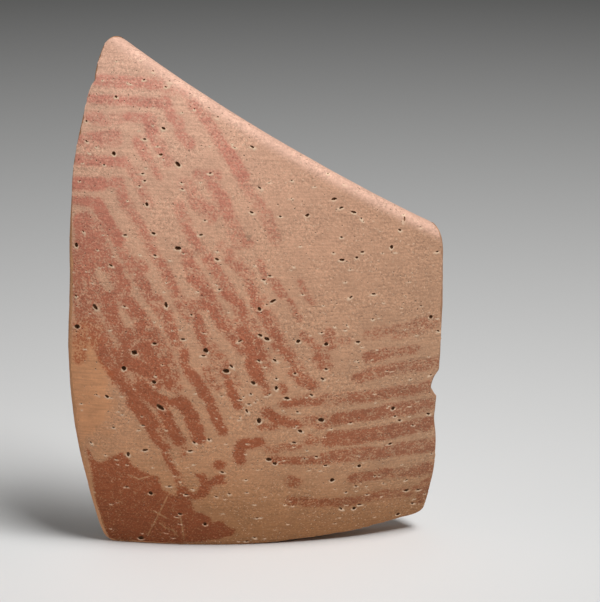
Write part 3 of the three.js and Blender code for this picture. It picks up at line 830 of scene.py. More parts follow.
# Red paint. Each brush stroke is how much of it is left, from 0 to 1, its width, and its places.
brushStrokes = [
    # faint bands under the darker strokes
    (0.28, 4.9, (-24.5, 34.5), (-21, 42)), (0.42, 4.5, (-21.5, 42), (-17, 49), (-14.5, 54.5)),
    (0.28, 3.1, (-15.5, 54.5), (-12.5, 60.5)), (0.5, 3.1, (-22.5, 34.5), (-17, 38.5), (-12.5, 41.5)),
    (0.36, 2.6, (-19, 32.5), (-13, 36.5), (-7.5, 39.5), (-3, 41.5)),
    (0.45, 3.4, (-17.5, 45), (-13.5, 46.5), (-9.5, 49.5), (-5.5, 51.5)),
    (0.45, 3.3, (-11, 43.5), (-6.5, 45), (-2, 47)), (0.45, 3.7, (-14, 51.5), (-8.5, 55), (-2, 60)),
    (0.3, 2.3, (-10.5, 31.5), (-5.5, 34), (-1.5, 37), (3.5, 39.5)),
    (0.3, 2.5, (-9.5, 21), (-5, 24.5), (-1.5, 26.5)),
    (0.4, 2.7, (-3.5, 29), (2, 32.5), (6.5, 35), (11, 38), (16, 40.5)),
    (0.38, 2.5, (0.5, 27), (6, 30), (11, 33), (16, 35.5)), (0.28, 2.3, (2, 23.5), (9.5, 26)),
    (0.38, 2, (10, 27), (13, 29.5), (17.5, 33), (22, 35.5)),
    (0.38, 2.8, (-4, 40.5), (-0.5, 42.5), (4, 46.5)),
    (0.4, 2.5, (2.5, 37.5), (6, 40.5), (10, 44)), (0.5, 7.2, (-3.5, 51.5), (2.5, 55.5)),
    (0.4, 2.8, (-1, 47), (3.5, 50), (8.5, 55)), (0.45, 3.3, (-1.5, 60.5), (4.5, 63.5), (11, 67)),
    (0.9, 1.9, (6, 59.5), (11, 58)), (0.35, 2.1, (13, 44), (18.5, 48)), (0.3, 2.5, (10.5, 43.5), (15, 47)),
    (0.3, 2, (19, 37.5), (22.5, 41.5)), (0.35, 2.3, (12.5, 35.5), (18.5, 39.5)),
    (0.3, 1.8, (14, 29), (23, 35.5)), (0.3, 2.5, (23.5, 36), (29.5, 39.5)),
    (0.35, 2.5, (29.5, 33), (33, 35.5)), (0.3, 2.5, (-22, 11), (-16, 14.5)),
    (0.3, 1.9, (-20.5, 20), (-15, 24)), (0.3, 2.6, (-19.5, 26), (-12.5, 30)),
    (0.28, 2.9, (-10.5, 16.5), (-3, 19.5)),
    (0.28, 2.9, (-6, 13.5), (1, 18), (4.5, 21)), (0.3, 2, (-2, 9.5), (5, 13), (10.5, 17)),
    (0.3, 2, (-33, 16), (-29, 12.5)), (0.25, 1.6, (-25, 3), (-20, 1)),
    (0.3, 2.8, (-32.5, 20.5), (-27.5, 16.5)),
    (0.4, 1.8, (19, 73.5), (23, 77)), (0.35, 2.2, (12, 48.5), (15.5, 50.5)),
    (0.25, 2.4, (32, 44.5), (37.5, 41.5)),
    (0.3, 2.5, (35.5, 48.5), (40, 46)), (0.3, 2.5, (47.5, 36), (56, 31)),
    (0.25, 2.9, (37, 42.5), (41, 39.5)),
    (0.6, 2.6, (-24, 42), (-20, 47), (-18, 49.5)),
    (0.62, 3, (-22, 44.5), (-16.5, 51), (-10.5, 55.5), (-6, 58.5)),
    # left arm
    (0.5, 2.4, (-37.5, 9), (-26, 2.5)), (0.6, 1.8, (-37, 13), (-29, 8.5), (-23.5, 5.5)),
    (0.5, 2, (-35, 16), (-33, 15)), (0.55, 1.6, (-28, 11.5), (-23, 9)), (0.6, 2.3, (-24, 9.5), (-22, 11)),
    (0.5, 2.4, (-34, 21), (-28, 16)), (0.3, 1.1, (-32.5, 21.5), (-30.5, 22.5)),
    (0.65, 2, (-33, 25), (-23.5, 19.5)), (0.45, 1.5, (-23, 19.5), (-20.5, 20.5), (-17, 23)),
    (0.85, 2.6, (-31, 29.5), (-25.5, 26)), (0.5, 2.2, (-25.5, 26), (-22.5, 23.5)),
    (0.75, 1.8, (-29.5, 32.5), (-24, 29.5)), (0.85, 2.6, (-24, 30), (-20.5, 32), (-16.5, 34)),
    (0.8, 4.3, (-25, 35), (-21.5, 39.5), (-20, 43)), (0.7, 3.3, (-20.5, 36), (-17, 39.5)),
    (0.55, 3.8, (-19, 45.5), (-15.5, 51)), (0.35, 2.6, (-14.5, 54.5), (-12.5, 61)),
    # middle arm
    (0.5, 2.1, (-23, 4.5), (-20, 6.5)), (0.5, 2.1, (-18.5, 6.5), (-16.5, 8.5), (-14, 9)),
    (0.45, 2.2, (-18, 2), (-14, 3), (-10.5, 4.5)), (0.55, 2.2, (-10.5, 4.5), (-7, 6.5)),
    (0.68, 2.6, (-6, 6.5), (-3.5, 8), (-1.5, 9)), (0.35, 1.6, (0.5, 10.5), (4.5, 12)),
    (0.35, 1.8, (6.5, 13), (10, 16.5)), (0.55, 2.1, (-23.5, 14.5), (-20, 16)),
    (0.5, 1.5, (-22, 12), (-19.5, 13), (-17, 14)), (0.4, 1.5, (-18, 17), (-16, 18)),
    (0.5, 2.2, (-21.5, 24.5), (-19, 27)), (0.45, 1.9, (-18.5, 26.5), (-15, 28.5), (-11, 30)),
    (0.45, 1.5, (-10, 21), (-7, 23.5)), (0.62, 1.9, (-6, 24), (-2.5, 26)),
    (0.5, 1.8, (-9.5, 13.5), (-6, 11.5)),
    (0.55, 2.5, (-5.5, 14), (-3.5, 14.5)), (0.6, 2.4, (-2.5, 15), (0, 17.5)),
    (0.4, 2.9, (-7, 18.5), (-3, 18.5)), (0.35, 2.3, (2.5, 20), (6, 20)),
    (0.75, 2, (-15, 38.5), (-12.5, 40), (-10.5, 41.5)), (0.85, 2.2, (-9, 44), (-6.5, 44.5), (-4.5, 45.5)),
    (0.6, 1.8, (-17, 45), (-14, 46)), (0.9, 2.5, (-13, 45.5), (-11.5, 47), (-10, 49)),
    (0.85, 2, (-9, 50), (-5.5, 50.5)), (0.5, 2.8, (-12.5, 36.5), (-10, 36)),
    (0.7, 2, (-10, 37.5), (-7.5, 39), (-5, 40.5)), (0.5, 1.3, (-10.5, 31), (-8, 33)),
    (0.7, 1.9, (-7, 33), (-4, 35)), (0.75, 1.3, (-3, 35.5), (-1, 37.5)), (0.6, 2.3, (-3, 29), (-0.5, 31.5)),
    (0.85, 1.9, (0, 32.5), (3, 33)), (0.95, 1.7, (3, 33.5), (5, 34)), (0.6, 2.1, (0.5, 27), (3.5, 28.5)),
    (0.6, 1.4, (5, 29), (7.5, 30.5)), (0.95, 1.9, (7, 31.5), (10.5, 32)),
    (0.8, 1.4, (10.5, 32), (12.5, 33.5)),
    (0.5, 1.9, (4.5, 25), (8.5, 26)), (0.6, 1.2, (10, 22.5), (12.5, 24.5)),
    (0.8, 1.4, (10.5, 27.5), (12.5, 30), (15, 31.5)), (0.45, 1.8, (14, 24.5), (17, 26)),
    (0.38, 1.2, (19, 22), (20, 23)), (0.38, 1.4, (21, 23.5), (23, 24.5)),
    (0.85, 1.9, (4, 36), (7, 36), (10.5, 38.5)), (0.7, 1.3, (10.5, 38), (14.5, 40)),
    (0.8, 1.9, (4.5, 39), (6.5, 41), (8.5, 43)), (0.7, 2.1, (-1, 41.5), (1, 43.5), (3, 46)),
    (0.4, 2.4, (0, 38), (3.5, 40)), (0.85, 2.2, (-4.5, 47), (-2, 48), (0.5, 48.5)),
    (0.65, 2.6, (-13.5, 53), (-9, 55)), (0.9, 2.5, (-9.5, 55.5), (-7, 57.5), (-3, 60.5)),
    (0.75, 1.8, (-6.5, 55), (-3.5, 57)), (0.9, 1.9, (-5.5, 51), (-3.5, 55)),
    (1, 3.2, (-2.5, 55.5), (2, 55)),
    (0.95, 2.9, (-1.5, 50.5), (4, 54)), (0.85, 1.9, (3.5, 51.5), (7, 55.5)), (1, 2.1, (-1, 61), (2, 61.5)),
    (1, 3.1, (2, 59), (6.5, 60)), (0.9, 1.7, (6, 47), (7.5, 49.5)),
    (0.95, 2, (9, 50.5), (12.5, 52), (14.5, 53.5)), (0.95, 1.9, (14.5, 53), (18, 56), (22, 59)),
    (1, 1.7, (17.5, 48.5), (19.5, 50.5), (21.5, 52)), (1, 3.3, (2.5, 63), (5, 64), (8, 65.5)),
    (1, 2.5, (8.5, 61), (11.5, 63.5), (15, 66)), (1, 2.9, (11, 57.5), (14, 59), (18.5, 63)),
    (0.6, 1.1, (15, 47), (16.5, 47.5)), (0.95, 2.3, (14, 37), (16, 38.5), (19, 41)),
    (1, 2.6, (19, 42), (22, 44.5)), (0.8, 1.4, (16.5, 36.5), (19, 38), (20.5, 40)),
    (0.7, 1.2, (24, 45), (25, 46.5)), (0.9, 1.9, (8, 66.5), (10.5, 68), (13.5, 69)),
    (0.9, 1.3, (13.5, 69.5), (16.5, 72)), (0.8, 1.2, (16.5, 72), (19, 73.5)),
    (0.55, 1, (15.5, 64.5), (18, 68.5)),
    # the turn below it
    (0.75, 1.8, (16, 31.5), (18.5, 33.5), (21.5, 35)), (0.7, 1.7, (21, 36.5), (23.5, 37), (26, 37.5)),
    (0.5, 1, (19, 26.5), (22.5, 29)), (0.6, 1.4, (25, 31.5), (29.5, 33)),
    (0.6, 3.3, (31, 34.5), (31.5, 35)),
    (0.55, 2.2, (29.5, 29), (31, 31)), (0.35, 1.6, (32.5, 29), (33.5, 28.5)),
    (0.65, 2.4, (27.5, 39.5), (30, 40.5), (32.5, 40.5)), (0.55, 1.4, (27, 43.5), (28, 44.5)),
    (0.75, 1.9, (29.5, 47), (32.5, 45), (35.5, 43)), (0.9, 2.1, (27.5, 50.5), (30.5, 51), (34.5, 50)),
    (0.6, 1.5, (28.5, 54), (31, 52.5)), (0.6, 2.2, (39, 52), (40, 52)), (0.5, 1.8, (39, 48), (41.5, 46)),
    (0.35, 2.1, (33, 58), (38, 54.5)), (0.7, 1.8, (35, 60), (38.5, 58.5), (44, 55.5)),
    (0.5, 2.6, (41.5, 63), (43, 63)), (0.6, 2.4, (45, 67.5), (49.5, 66), (57.5, 62.5)),
    (1, 2.3, (27, 60), (30, 57.5)), (1, 2.3, (27.5, 61.5), (29, 63.5)), (0.95, 2.1, (25.5, 67), (26, 66.5)),
    # right arm
    (0.3, 3.3, (42, 22.5), (47.5, 18)), (0.28, 2.5, (37, 25.5), (39.5, 23.5)),
    (0.6, 2.6, (39.5, 30), (42, 28)),
    (0.45, 2.1, (42, 28), (45, 26)), (0.5, 1.9, (46.5, 25), (47.5, 24.5)),
    (0.62, 2.4, (40, 35), (42, 33), (44.5, 31)), (0.42, 2.7, (44, 31), (53.5, 25.5)),
    (0.65, 2.5, (41.5, 39.5), (45.5, 37), (50, 34), (53, 32.5)), (0.45, 2.6, (53, 32.5), (55.5, 30.5)),
    (0.8, 2.8, (41.5, 45), (45.5, 42.5), (49, 40)), (0.6, 3.4, (49.5, 39.5), (55.5, 36)),
    (0.45, 3.2, (55.5, 36), (58, 34.5)), (0.85, 3.7, (43, 50), (46.5, 48), (50.5, 45.5)),
    (0.75, 3.6, (50.5, 45.5), (55.5, 42), (61, 38.5)), (0.6, 3.3, (45, 54.5), (49.5, 51.5), (55.5, 48.5)),
    (0.62, 3.5, (56.5, 47.5), (65.5, 43)), (0.65, 2.7, (54, 56.5), (56.5, 55), (59.5, 53)),
    (0.42, 2.4, (59.5, 53), (66, 50.5)), (0.6, 3.6, (66.5, 50), (69, 48.5)),
    (0.55, 2.6, (59, 61.5), (61, 59.5), (63.5, 58)), (0.35, 3, (64, 58), (71, 54.5)),
    (0.5, 2.9, (73.5, 56.5), (71.5, 52)),
]
# Outlines of the paint laid solid over the base of the wall and in the splash beside it
paintedOver = [
    [(-1.5, 79), (0, 80), (2, 81), (3, 80.5), (4, 78.5), (5, 77), (6, 75.5), (8, 76), (9.5, 77), (12, 77),
     (14.5, 77), (16, 76.5), (18, 78.5), (19.5, 79), (21, 79), (22, 78.5), (21, 76.5), (22.5, 75.5),
     (25, 77.5), (26.5, 79), (28, 80.5), (29.5, 80), (31.5, 80), (33.5, 81), (35, 79.5), (36.5, 80.5),
     (39, 80.5), (39.5, 82), (38, 83.5), (36.5, 85.5), (26.5, 92.5), (15.5, 98), (13, 96.5), (7.5, 91),
     (2, 83.5)],
    [(23, 76), (25, 76), (25.5, 74.5), (25, 73.5), (24, 72), (22.5, 71.5), (24, 70.5), (26, 71), (27, 69),
     (28, 68.5), (29.5, 70), (27.5, 72), (27.5, 74), (28, 75.5), (26, 77.5), (25, 78.5)],
]
paint = {"soft": 0.5, "spread": 0.1, "over": 0.95, "spacing": 0.26, "margin": 1.0, "ragged": 0.2,
         "thick": 0.009, "thinOver": 0.6, "thinnest": 0.001, "clear": 0.003, "crumb": 30, "voidClear": 0.06}


def footprint(node):
    # the sides of what a painted node covers, in along and down, from the outer faces of its solid
    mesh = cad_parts[node].data
    place = bowlPlace(pointsOf(mesh))
    corners = np.empty(3 * len(mesh.polygons), np.int32)
    mesh.polygons.foreach_get("vertices", corners)
    corners = corners.reshape(-1, 3)
    depth = place[:, 2]
    outerFaces = corners[(depth[corners] < (depth.min() + depth.max()) / 2).all(axis=1)]
    spots, own = np.unique(np.round(place[:, :2], 2), axis=0, return_inverse=True)
    faces = own.reshape(-1)[outerFaces]
    faces = faces[(faces != np.roll(faces, 1, axis=1)).all(axis=1)]
    sides = np.sort(np.concatenate([faces[:, [0, 1]], faces[:, [1, 2]], faces[:, [2, 0]]]), axis=1)
    sides, times = np.unique(sides, axis=0, return_counts=True)
    return spots[sides[times == 1]]


def fromLine(places, start, end):
    run = end - start
    share = np.clip((places - start) @ run / (run @ run), 0, 1)
    return np.linalg.norm(places - start - share[:, None] * run, axis=1)


def insideBy(places, sides):
    # how far places are inside a footprint
    nearest = np.full(len(places), 1e9)
    for start, end in sides:
        nearest = np.minimum(nearest, fromLine(places, start, end))
    return np.where(insideEdges(places, sides[:, 0], sides[:, 1]), nearest, -nearest)


def paintAt(places):
    # how much paint is left at places on the wall, without its fine raggedness
    left = np.zeros(len(places))
    soft = paint["soft"]
    for most, width, *line in brushStrokes:
        line, width = np.array(line, float), width + paint["spread"]
        margin = width / 2 + soft
        near = ((places > line.min(axis=0) - margin) & (places < line.max(axis=0) + margin)).all(axis=1)
        away = np.full(near.sum(), 1e9)
        for start, end in zip(line, line[1:]):
            away = np.minimum(away, fromLine(places[near], start, end))
        left[near] = np.maximum(left[near], most * smoothStep(-soft, soft, width / 2 - away))
    for outline in paintedOver:
        outline = np.array(outline, float)
        sides = np.stack([outline, np.roll(outline, -1, axis=0)], axis=1)
        near = ((places > outline.min(axis=0) - 1) & (places < outline.max(axis=0) + 1)).all(axis=1)
        laid = paint["over"] * smoothStep(-soft, soft, insideBy(places[near], sides))
        left[near] = np.maximum(left[near], laid)
    return left


def shownNormal(mesh, face, point):
    # the slip's own smooth normal at a point on one of its faces
    weights = poly_3d_calc([mesh.vertices[k].co for k in face.vertices], point)
    parts = [mesh.corner_normals[k].vector * weight for k, weight in zip(face.loop_indices, weights)]
    return sum(parts, Vector()).normalized()


def paintFilm(name, finish, slipSurface):
    sides = footprint(name)
    low, high = sides.min(axis=(0, 1)) - paint["margin"], sides.max(axis=(0, 1)) + paint["margin"]

    def inside(places):
        # how far places are inside the film's border
        covered = insideBy(places, sides) + paint["ragged"] * (0.5 + roughly(places, 1.1, 5))
        onSlip = slipField(places, fromEdge(places)[0]) - 0.1
        return np.minimum.reduce([covered, clearOfVoids(places, paint["voidClear"]), onSlip])

    places, faces = hexGrid(low, high, paint["spacing"])
    places, faces = cutToField(places, faces, inside(places))
    places, faces = withoutCrumbs(places, faces, paint["crumb"])
    skin, normals = skinPoint(places[:, 0], places[:, 1], 0), skinNormal(places[:, 0], places[:, 1])
    seat, shown = [], []
    for point, normal in zip(skin.tolist(), normals.tolist()):
        point, normal = Vector(point), Vector(normal)
        hit, _, face, _ = slipSurface.ray_cast(point + normal * 0.001, -normal, 0.002)
        seat.append(hit or point)
        shown.append(shownNormal(slipPiece.data, slipPiece.data.polygons[face], hit) if hit else normal)
    seat, shown = np.array(seat), np.array(shown)
    thick = paint["thinnest"] + paint["thick"] * smoothStep(0, paint["thinOver"], inside(places))
    bottom = seat + normals * (paint["clear"] / 1000)
    top = bottom + normals * (thick / 1000)[:, None]
    points, shell = closedShell(top, bottom, faces)
    flat = np.tile(places, (2, 1))
    rimAway, rimSide = nearRims(flat)
    piece = makePiece(name + "_film", points, shell, paint=paintAt(flat), rimAway=rimAway,
                      rimSide=rimSide, wallPlace=np.c_[flat, 0 * flat[:, 0]] / 1000)
    standFlat(piece.data)
    piece.data.normals_split_custom_set_from_vertices(np.concatenate([shown, -shown]).tolist())
    piece.data.materials.append(finish)
    return piece


# Finishes. Colours are linear, as the shader takes them.
colours = {
    # The slip's corner colours are painted shade and light as well as its tones: lighter and pinker at the
    # upper left, darker and more orange low down and to the right
    "upperLeft": (0.78, 0.46, 0.33, 1), "upperRight": (0.49, 0.27, 0.173, 1),
    "lowerLeft": (0.57, 0.28, 0.135, 1), "lowerRight": (0.55, 0.32, 0.19, 1),
    # foot is painted shade, darkening the slip near the floor
    "slipWorn": (0.72, 0.335, 0.16, 1), "foot": (0.37, 0.175, 0.075, 1), "lip": (0.71, 0.44, 0.335, 1),
    "paintHigh": (0.86, 0.58, 0.60, 1), "paintLow": (0.66, 0.37, 0.285, 1),
    # pitShade is the painted shade of small pits; cream is the pale of grains and also the painted highlight
    # on pit and void rims
    "paintRight": (0.69, 0.46, 0.41, 1), "cream": (0.90, 0.66, 0.46, 1), "pitShade": (0.13, 0.06, 0.03, 1),
    "smudge": (0.30, 0.20, 0.13, 1), "clayWorn": (0.58, 0.28, 0.14, 1),
    # clayWornShadedRight is the worn clay painted darker towards the right, as shade
    "clayWornShadedRight": (0.40, 0.215, 0.125, 1), "clayTorn": (0.52, 0.27, 0.14, 1),
    "clayCore": (0.30, 0.185, 0.125, 1), "clayInner": (0.56, 0.32, 0.185, 1),
    # voidShade is painted shade inside the voids
    "voidShade": (0.13, 0.055, 0.025, 1), "grit": (0.72, 0.55, 0.38, 1),
}
marks = {
    "scratches": [((20.4, 80.1), (22.5, 92)), ((19.9, 85.1), (23.4, 85.3)), ((23, 87.4), (25, 87.9)),
                  ((25, 87.9), (26.7, 87.5)), ((26.7, 87.5), (28.8, 88.5)), ((25.7, 82.9), (30.5, 88.5)),
                  ((10, 79.6), (12.5, 79.3)), ((12.5, 79.3), (14.2, 77.2))],
    "scratchWidth": 0.34, "smudge": (5.3, 19.1), "smudgeSize": 1.0,
    "wornPlace": (-8.5, 66.5), "wornWay": (0.5, 0.87), "wornLong": 14.0, "wornWide": 7.0,
    "wornFades": (1.2, 0.7), "wornUneven": 0.25, "skinDepth": 0.35,
    # litSide moves the pit mask down for the painted highlight below each pit
    "pitSpacing": 1.2, "pitStray": 0.0006, "pitStrayScale": 2200, "litSide": (-0.00008, -0.00014, 0),
    "pitLeast": 0.045, "pitVaries": 0.095, "pitPatches": (5, 3), "pitPatchHeight": 3.4, "pitRareness": 1.5,
    # rimWidth, rimInner and rimWay place the painted highlight on the lit side of void rims
    "rimWidth": 0.42, "rimInner": 0.05, "rimWay": (0.45, 0.89), "wipedWay": math.radians(30),
    "scratchInner": 0.05, "scratchGaps": (0.3, 0.5), "scratchNoise": (1.2, 3), "scratchShare": 0.9,
    "scratchDepth": 0.4,
}
# What the looks are mixed from. A pair is where a change starts and ends, in metres in the frame and in
# millimetres on the wall, or a noise's size in millimetres and its detail. A Level changes how light the
# colour is, a Share how much of a colour is mixed in, and a Bump how high something stands.
slipLook = {
    "rightwards": (-0.022, 0.05), "upwards": (0.01, 0.104), "floorShadeFades": (0.024, 0), "lipFades": (2.4, 0.2),
    "lipShare": 0.8, "wornShare": 0.8, "wornEvens": 0.75, "mottle": (9, 3), "closeMottle": (2.4, 3),
    "sand": (0.6, 4), "fine": (0.3, 2), "lines": (0.45, 2, (0.08, 1, 1)), "roughNoise": (7, 3),
    "roughRange": (0.38, 0.62), "roughVaries": 0.7, "roughLeast": 0.5, "sandLevel": 0.9, "fineLevel": 0.45,
    "mottleLevel": 0.6, "linesLevel": 0.5, "fleckNoise": (0.55, 3), "fleckRange": (0.60, 0.67),
    # the rim and lit entries shape the painted highlights on void rims and below pits, pitShare the painted
    # pit shade
    "fleckShare": 0.4, "rimUneven": 0.5, "rimSides": (-0.3, 0.6), "rimNoise": (1.6, 2), "rimGaps": (0.2, 0.5),
    "litShare": 0.5, "rimShare": 0.95, "pitShare": 0.8, "smudgeInner": 0.2, "smudgeUneven": 2,
    "smudgeShare": 0.6, "sandBump": 0.6, "fineBump": 0.4, "linesBump": 0.25, "lumps": (1.6, 3),
    "lumpBump": 0.5, "pitBump": 1.2, "rimBump": 0.4, "litBares": 0.5,
}
paintLook = {
    "crumbs": (0.42, 4), "crumbShare": 0.6, "gaps": (1.6, 3), "gapShare": 0.4, "tornRange": (0.32, 0.68),
    "fleckNoise": (0.5, 3), "fleckRange": (0.57, 0.66), "fleckShare": 0.5, "fullAt": 1.35,
    "raggedLow": 6.5, "raggedLess": 3.2, "raggedHeights": (0.05, 0.085), "strength": 1.4,
    # rimShare takes the paint off where the slip has its painted highlight
    "brokenShare": 0.8, "evenShare": 0.25, "rimShare": 0.3, "rightwards": (0.0, 0.036),
    "upwards": (0.03, 0.09),
}
clayLook = {
    "tornFrom": (0.3, 1.2), "tornTo": (6.2, 5.3), "tornAway": (0.7, 0.1), "innerFrom": (4.5, 5.8),
    "coreFrom": (1.2, 2.8), "coreTo": (5.3, 4.0), "coreRange": (0.3, 0.6), "coreShare": 0.6,
    "mottle": (7, 4), "mottleShare": 0.55, "closeMottle": (1.5, 4), "closeShare": 0.45, "sand": (0.35, 3),
    "lines": (0.7, 2, (0.08, 1, 1)), "rightwards": (0.0, 0.02), "mottleLevel": 0.5, "sandLevel": 0.3,
    "linesLevel": 0.25, "gritNoise": (0.6, 1), "gritRange": (0.66, 0.74), "gritShare": 0.25,
    "gritInBreaks": 0.4, "sandBump": 0.5, "lumps": (1.2, 4), "lumpBump": 0.4, "lumpsInBreaks": 1.4,
    "linesBump": 0.3,
}
voidLook = {"noise": (0.4, 3), "tornShare": 0.6}
# How rough each finish is, and how high its bumps stand in millimetres
surfaces = {"slip": (0.85, 0.09), "paint": (0.8, 0.09), "void": (0.95, 0.08), "clay": (0.9, 0.11)}


def newFinish(name):
    finish = bpy.data.materials.new(name)
    finish.use_nodes = True
    shader = next(node for node in finish.node_tree.nodes if node.type == "BSDF_PRINCIPLED")
    shader.inputs["Specular IOR Level"].default_value = 0.25
    return finish, Nodes(finish.node_tree), shader


def dress(n, shader, kind, colour, height):
    # height runs from 0 to 1 over distance, in millimetres
    roughness, distance = surfaces[kind]
    bump = n.node("ShaderNodeBump", None, {"Strength": 1.0, "Distance": distance / 1000, "Height": height})
    n.tree.links.new(colour.socket, shader.inputs["Base Color"])
    n.tree.links.new(bump.socket, shader.inputs["Normal"])
    shader.inputs["Roughness"].default_value = roughness


def attributeOf(n, key, output="Fac"):
    return n.node("ShaderNodeAttribute", {"attribute_name": key}, None, output)


def pitsAt(n, place):
    # small pits painted on the slip, 1 in the middle and 0 past their rims: the mask for painted pit shade
    # and, moved down, for the painted highlight below each
    m = marks
    sockets = {"Vector": place, "Scale": m["pitStrayScale"], "Detail": 2}
    stray = n.node("ShaderNodeTexNoise", None, sockets, "Color")
    place = n.vector("ADD", place, n.vector("SCALE", stray, m["pitStray"]))
    cell = n.node("ShaderNodeTexVoronoi", {"voronoi_dimensions": "2D"},
                  {"Vector": place, "Scale": 1000 / m["pitSpacing"]})
    chance = n.node("ShaderNodeSeparateColor", None, {0: Value(n, cell.socket.node.outputs["Color"])})
    size = m["pitLeast"] + m["pitVaries"] * Value(n, chance.socket.node.outputs["Green"])
    often = n.noise(place, *m["pitPatches"]) * m["pitPatchHeight"] - m["pitRareness"]
    return n.between(size, size * 0.5, cell) * (often > chance)


def slipSkin(n, wall):
    # the slip's colour and height, which show between and through the paint as well. Besides the slip's own
    # tones, its colour holds painted shade and light: lighter at the upper left, darker low down, to the
    # right and near the floor. It also holds painted pit shade and painted highlights on pit and void rims.
    look = slipLook
    # painted shade and light: the slip is lighter high up and to the left, darker low down and to the right
    rightwards = n.between(*look["rightwards"], n.inFrame("X"))
    height = n.inFrame("Z")
    low, high = look["upwards"]
    upwards = n.node("ShaderNodeMapRange", None, {"Value": height, "From Min": low, "From Max": high})
    colour = n.mix(upwards, n.mix(rightwards, colours["lowerLeft"], colours["lowerRight"]),
                   n.mix(rightwards, colours["upperLeft"], colours["upperRight"]))
    # painted shade: the slip darkens to the foot colour over the lowest 24 mm
    colour = n.mix(n.between(*look["floorShadeFades"], height), colour, colours["foot"])
    down = n.part("Y", wall) * 1000
    colour = n.mix(n.between(*look["lipFades"], down) * look["lipShare"], colour, colours["lip"])
    worn = attributeOf(n, "worn")
    coarse = 1 - worn * look["wornEvens"]
    colour = n.mix(worn * look["wornShare"], colour, colours["slipWorn"])
    mottle = n.noise(wall, *look["mottle"]) * 0.5 + n.noise(wall, *look["closeMottle"]) * 0.5
    sand, fine = n.noise(wall, *look["sand"]), n.noise(wall, *look["fine"])
    wiped = n.node("ShaderNodeMapping", None, {"Vector": wall, "Rotation": (0, 0, marks["wipedWay"])})
    lines = n.noise(wiped, *look["lines"])
    rough = n.between(*look["roughRange"], n.noise(wall, *look["roughNoise"]))
    rough = rough * look["roughVaries"] + look["roughLeast"]
    grain = ((sand - 0.5) * look["sandLevel"] + (fine - 0.5) * look["fineLevel"]) * coarse * rough
    level = 1 + (mottle - 0.5) * look["mottleLevel"] + grain + (lines - 0.5) * look["linesLevel"]
    colour = n.vector("SCALE", colour, level)
    flecks = n.between(*look["fleckRange"], n.noise(wall, *look["fleckNoise"])) * coarse * rough
    colour = n.mix(flecks * look["fleckShare"], colour, colours["cream"])
    # painted shade and highlight: small pits are painted dark, and a copy moved down is painted cream, as
    # light caught on their lower rims
    below = n.vector("ADD", wall, marks["litSide"])
    pits, lit = pitsAt(n, wall), pitsAt(n, below)
    # painted highlight: the lit lower side of each void's rim is painted cream
    rimAway, rimSide = attributeOf(n, "rimAway"), attributeOf(n, "rimSide")
    rim = n.between(marks["rimWidth"], marks["rimInner"], rimAway + (sand - 0.5) * look["rimUneven"])
    rim = rim * n.between(*look["rimSides"], rimSide)
    rim = rim * n.between(*look["rimGaps"], n.noise(wall, *look["rimNoise"]))
    colour = n.mix(lit * look["litShare"], colour, colours["cream"])
    colour = n.mix(rim * look["rimShare"], colour, colours["cream"])
    colour = n.mix(pits * look["pitShare"], colour, colours["pitShade"])
    smudgeAway = n.apart(wall, marks["smudge"]) + (sand - 0.5) * look["smudgeUneven"]
    smudged = n.between(marks["smudgeSize"], look["smudgeInner"], smudgeAway)
    colour = n.mix(smudged * look["smudgeShare"], colour, colours["smudge"])
    bump = (sand * look["sandBump"] + fine * look["fineBump"]) * coarse + lines * look["linesBump"]
    bump = bump + n.noise(wall, *look["lumps"]) * look["lumpBump"]
    bump = bump - pits * look["pitBump"] + rim * look["rimBump"]
    # the last value is the painted highlight, which the paint also gives way to
    return colour, bump, (rim + lit * look["litBares"]) * coarse


def painted(n, wall, bare, paintedHighlight):
    # the red over the bare slip: broken up where little is left, and taken off where the slip has its painted
    # highlight on void rims and below pits
    look = paintLook
    left = attributeOf(n, "paint")
    crumbs = n.noise(wall, *look["crumbs"]) * look["crumbShare"]
    torn = n.between(*look["tornRange"], crumbs + n.noise(wall, *look["gaps"]) * look["gapShare"])
    flecks = n.between(*look["fleckRange"], n.noise(wall, *look["fleckNoise"]))
    height = n.inFrame("Z")
    raggedness = look["raggedLow"] - n.between(*look["raggedHeights"], height) * look["raggedLess"]
    ragged = left * (look["fullAt"] - left) * raggedness
    broken = n.clamp(left * look["strength"] + (torn - 0.5) * ragged - paintedHighlight)
    amount = broken * look["brokenShare"] + left * look["evenShare"]
    amount = n.clamp(amount - flecks * look["fleckShare"] * left - paintedHighlight * look["rimShare"])
    rightwards = n.between(*look["rightwards"], n.inFrame("X"))
    tint = n.mix(n.between(*look["upwards"], height), colours["paintLow"], colours["paintHigh"])
    tint = n.mix(rightwards, tint, colours["paintRight"])
    return amount, n.mix(amount, bare, n.mix(1.0, bare, tint, "MULTIPLY"))


def buffSlipFinish():
    finish, n, shader = newFinish("buffSlip")
    wall = attributeOf(n, "wallPlace", "Vector")
    bare, bump, paintedHighlight = slipSkin(n, wall)
    dress(n, shader, "slip", painted(n, wall, bare, paintedHighlight)[1], bump)
    return finish


def redPaintFinish():
    finish, n, shader = newFinish("redPaint")
    wall = attributeOf(n, "wallPlace", "Vector")
    bare, bump, paintedHighlight = slipSkin(n, wall)
    amount, colour = painted(n, wall, bare, paintedHighlight)
    m = marks
    scratched = 0
    for start, end in m["scratches"]:
        scratched = n.between(m["scratchWidth"], m["scratchInner"], n.apart(wall, start, end)) + scratched
    scratched = scratched * n.between(*m["scratchGaps"], n.noise(wall, *m["scratchNoise"]))
    colour = n.mix(scratched * m["scratchShare"], colour, bare)
    dress(n, shader, "paint", colour, bump - scratched * m["scratchDepth"])
    return finish


def voidFinish():
    finish, n, shader = newFinish("voidInside")
    wall = attributeOf(n, "wallPlace", "Vector")
    level = n.noise(wall, *voidLook["noise"])
    # painted shade: the insides of voids are dark voidShade, mixed by noise with the torn clay's colour
    colour = n.mix(level * voidLook["tornShare"], colours["voidShade"], colours["clayTorn"])
    dress(n, shader, "void", colour, level)
    return finish


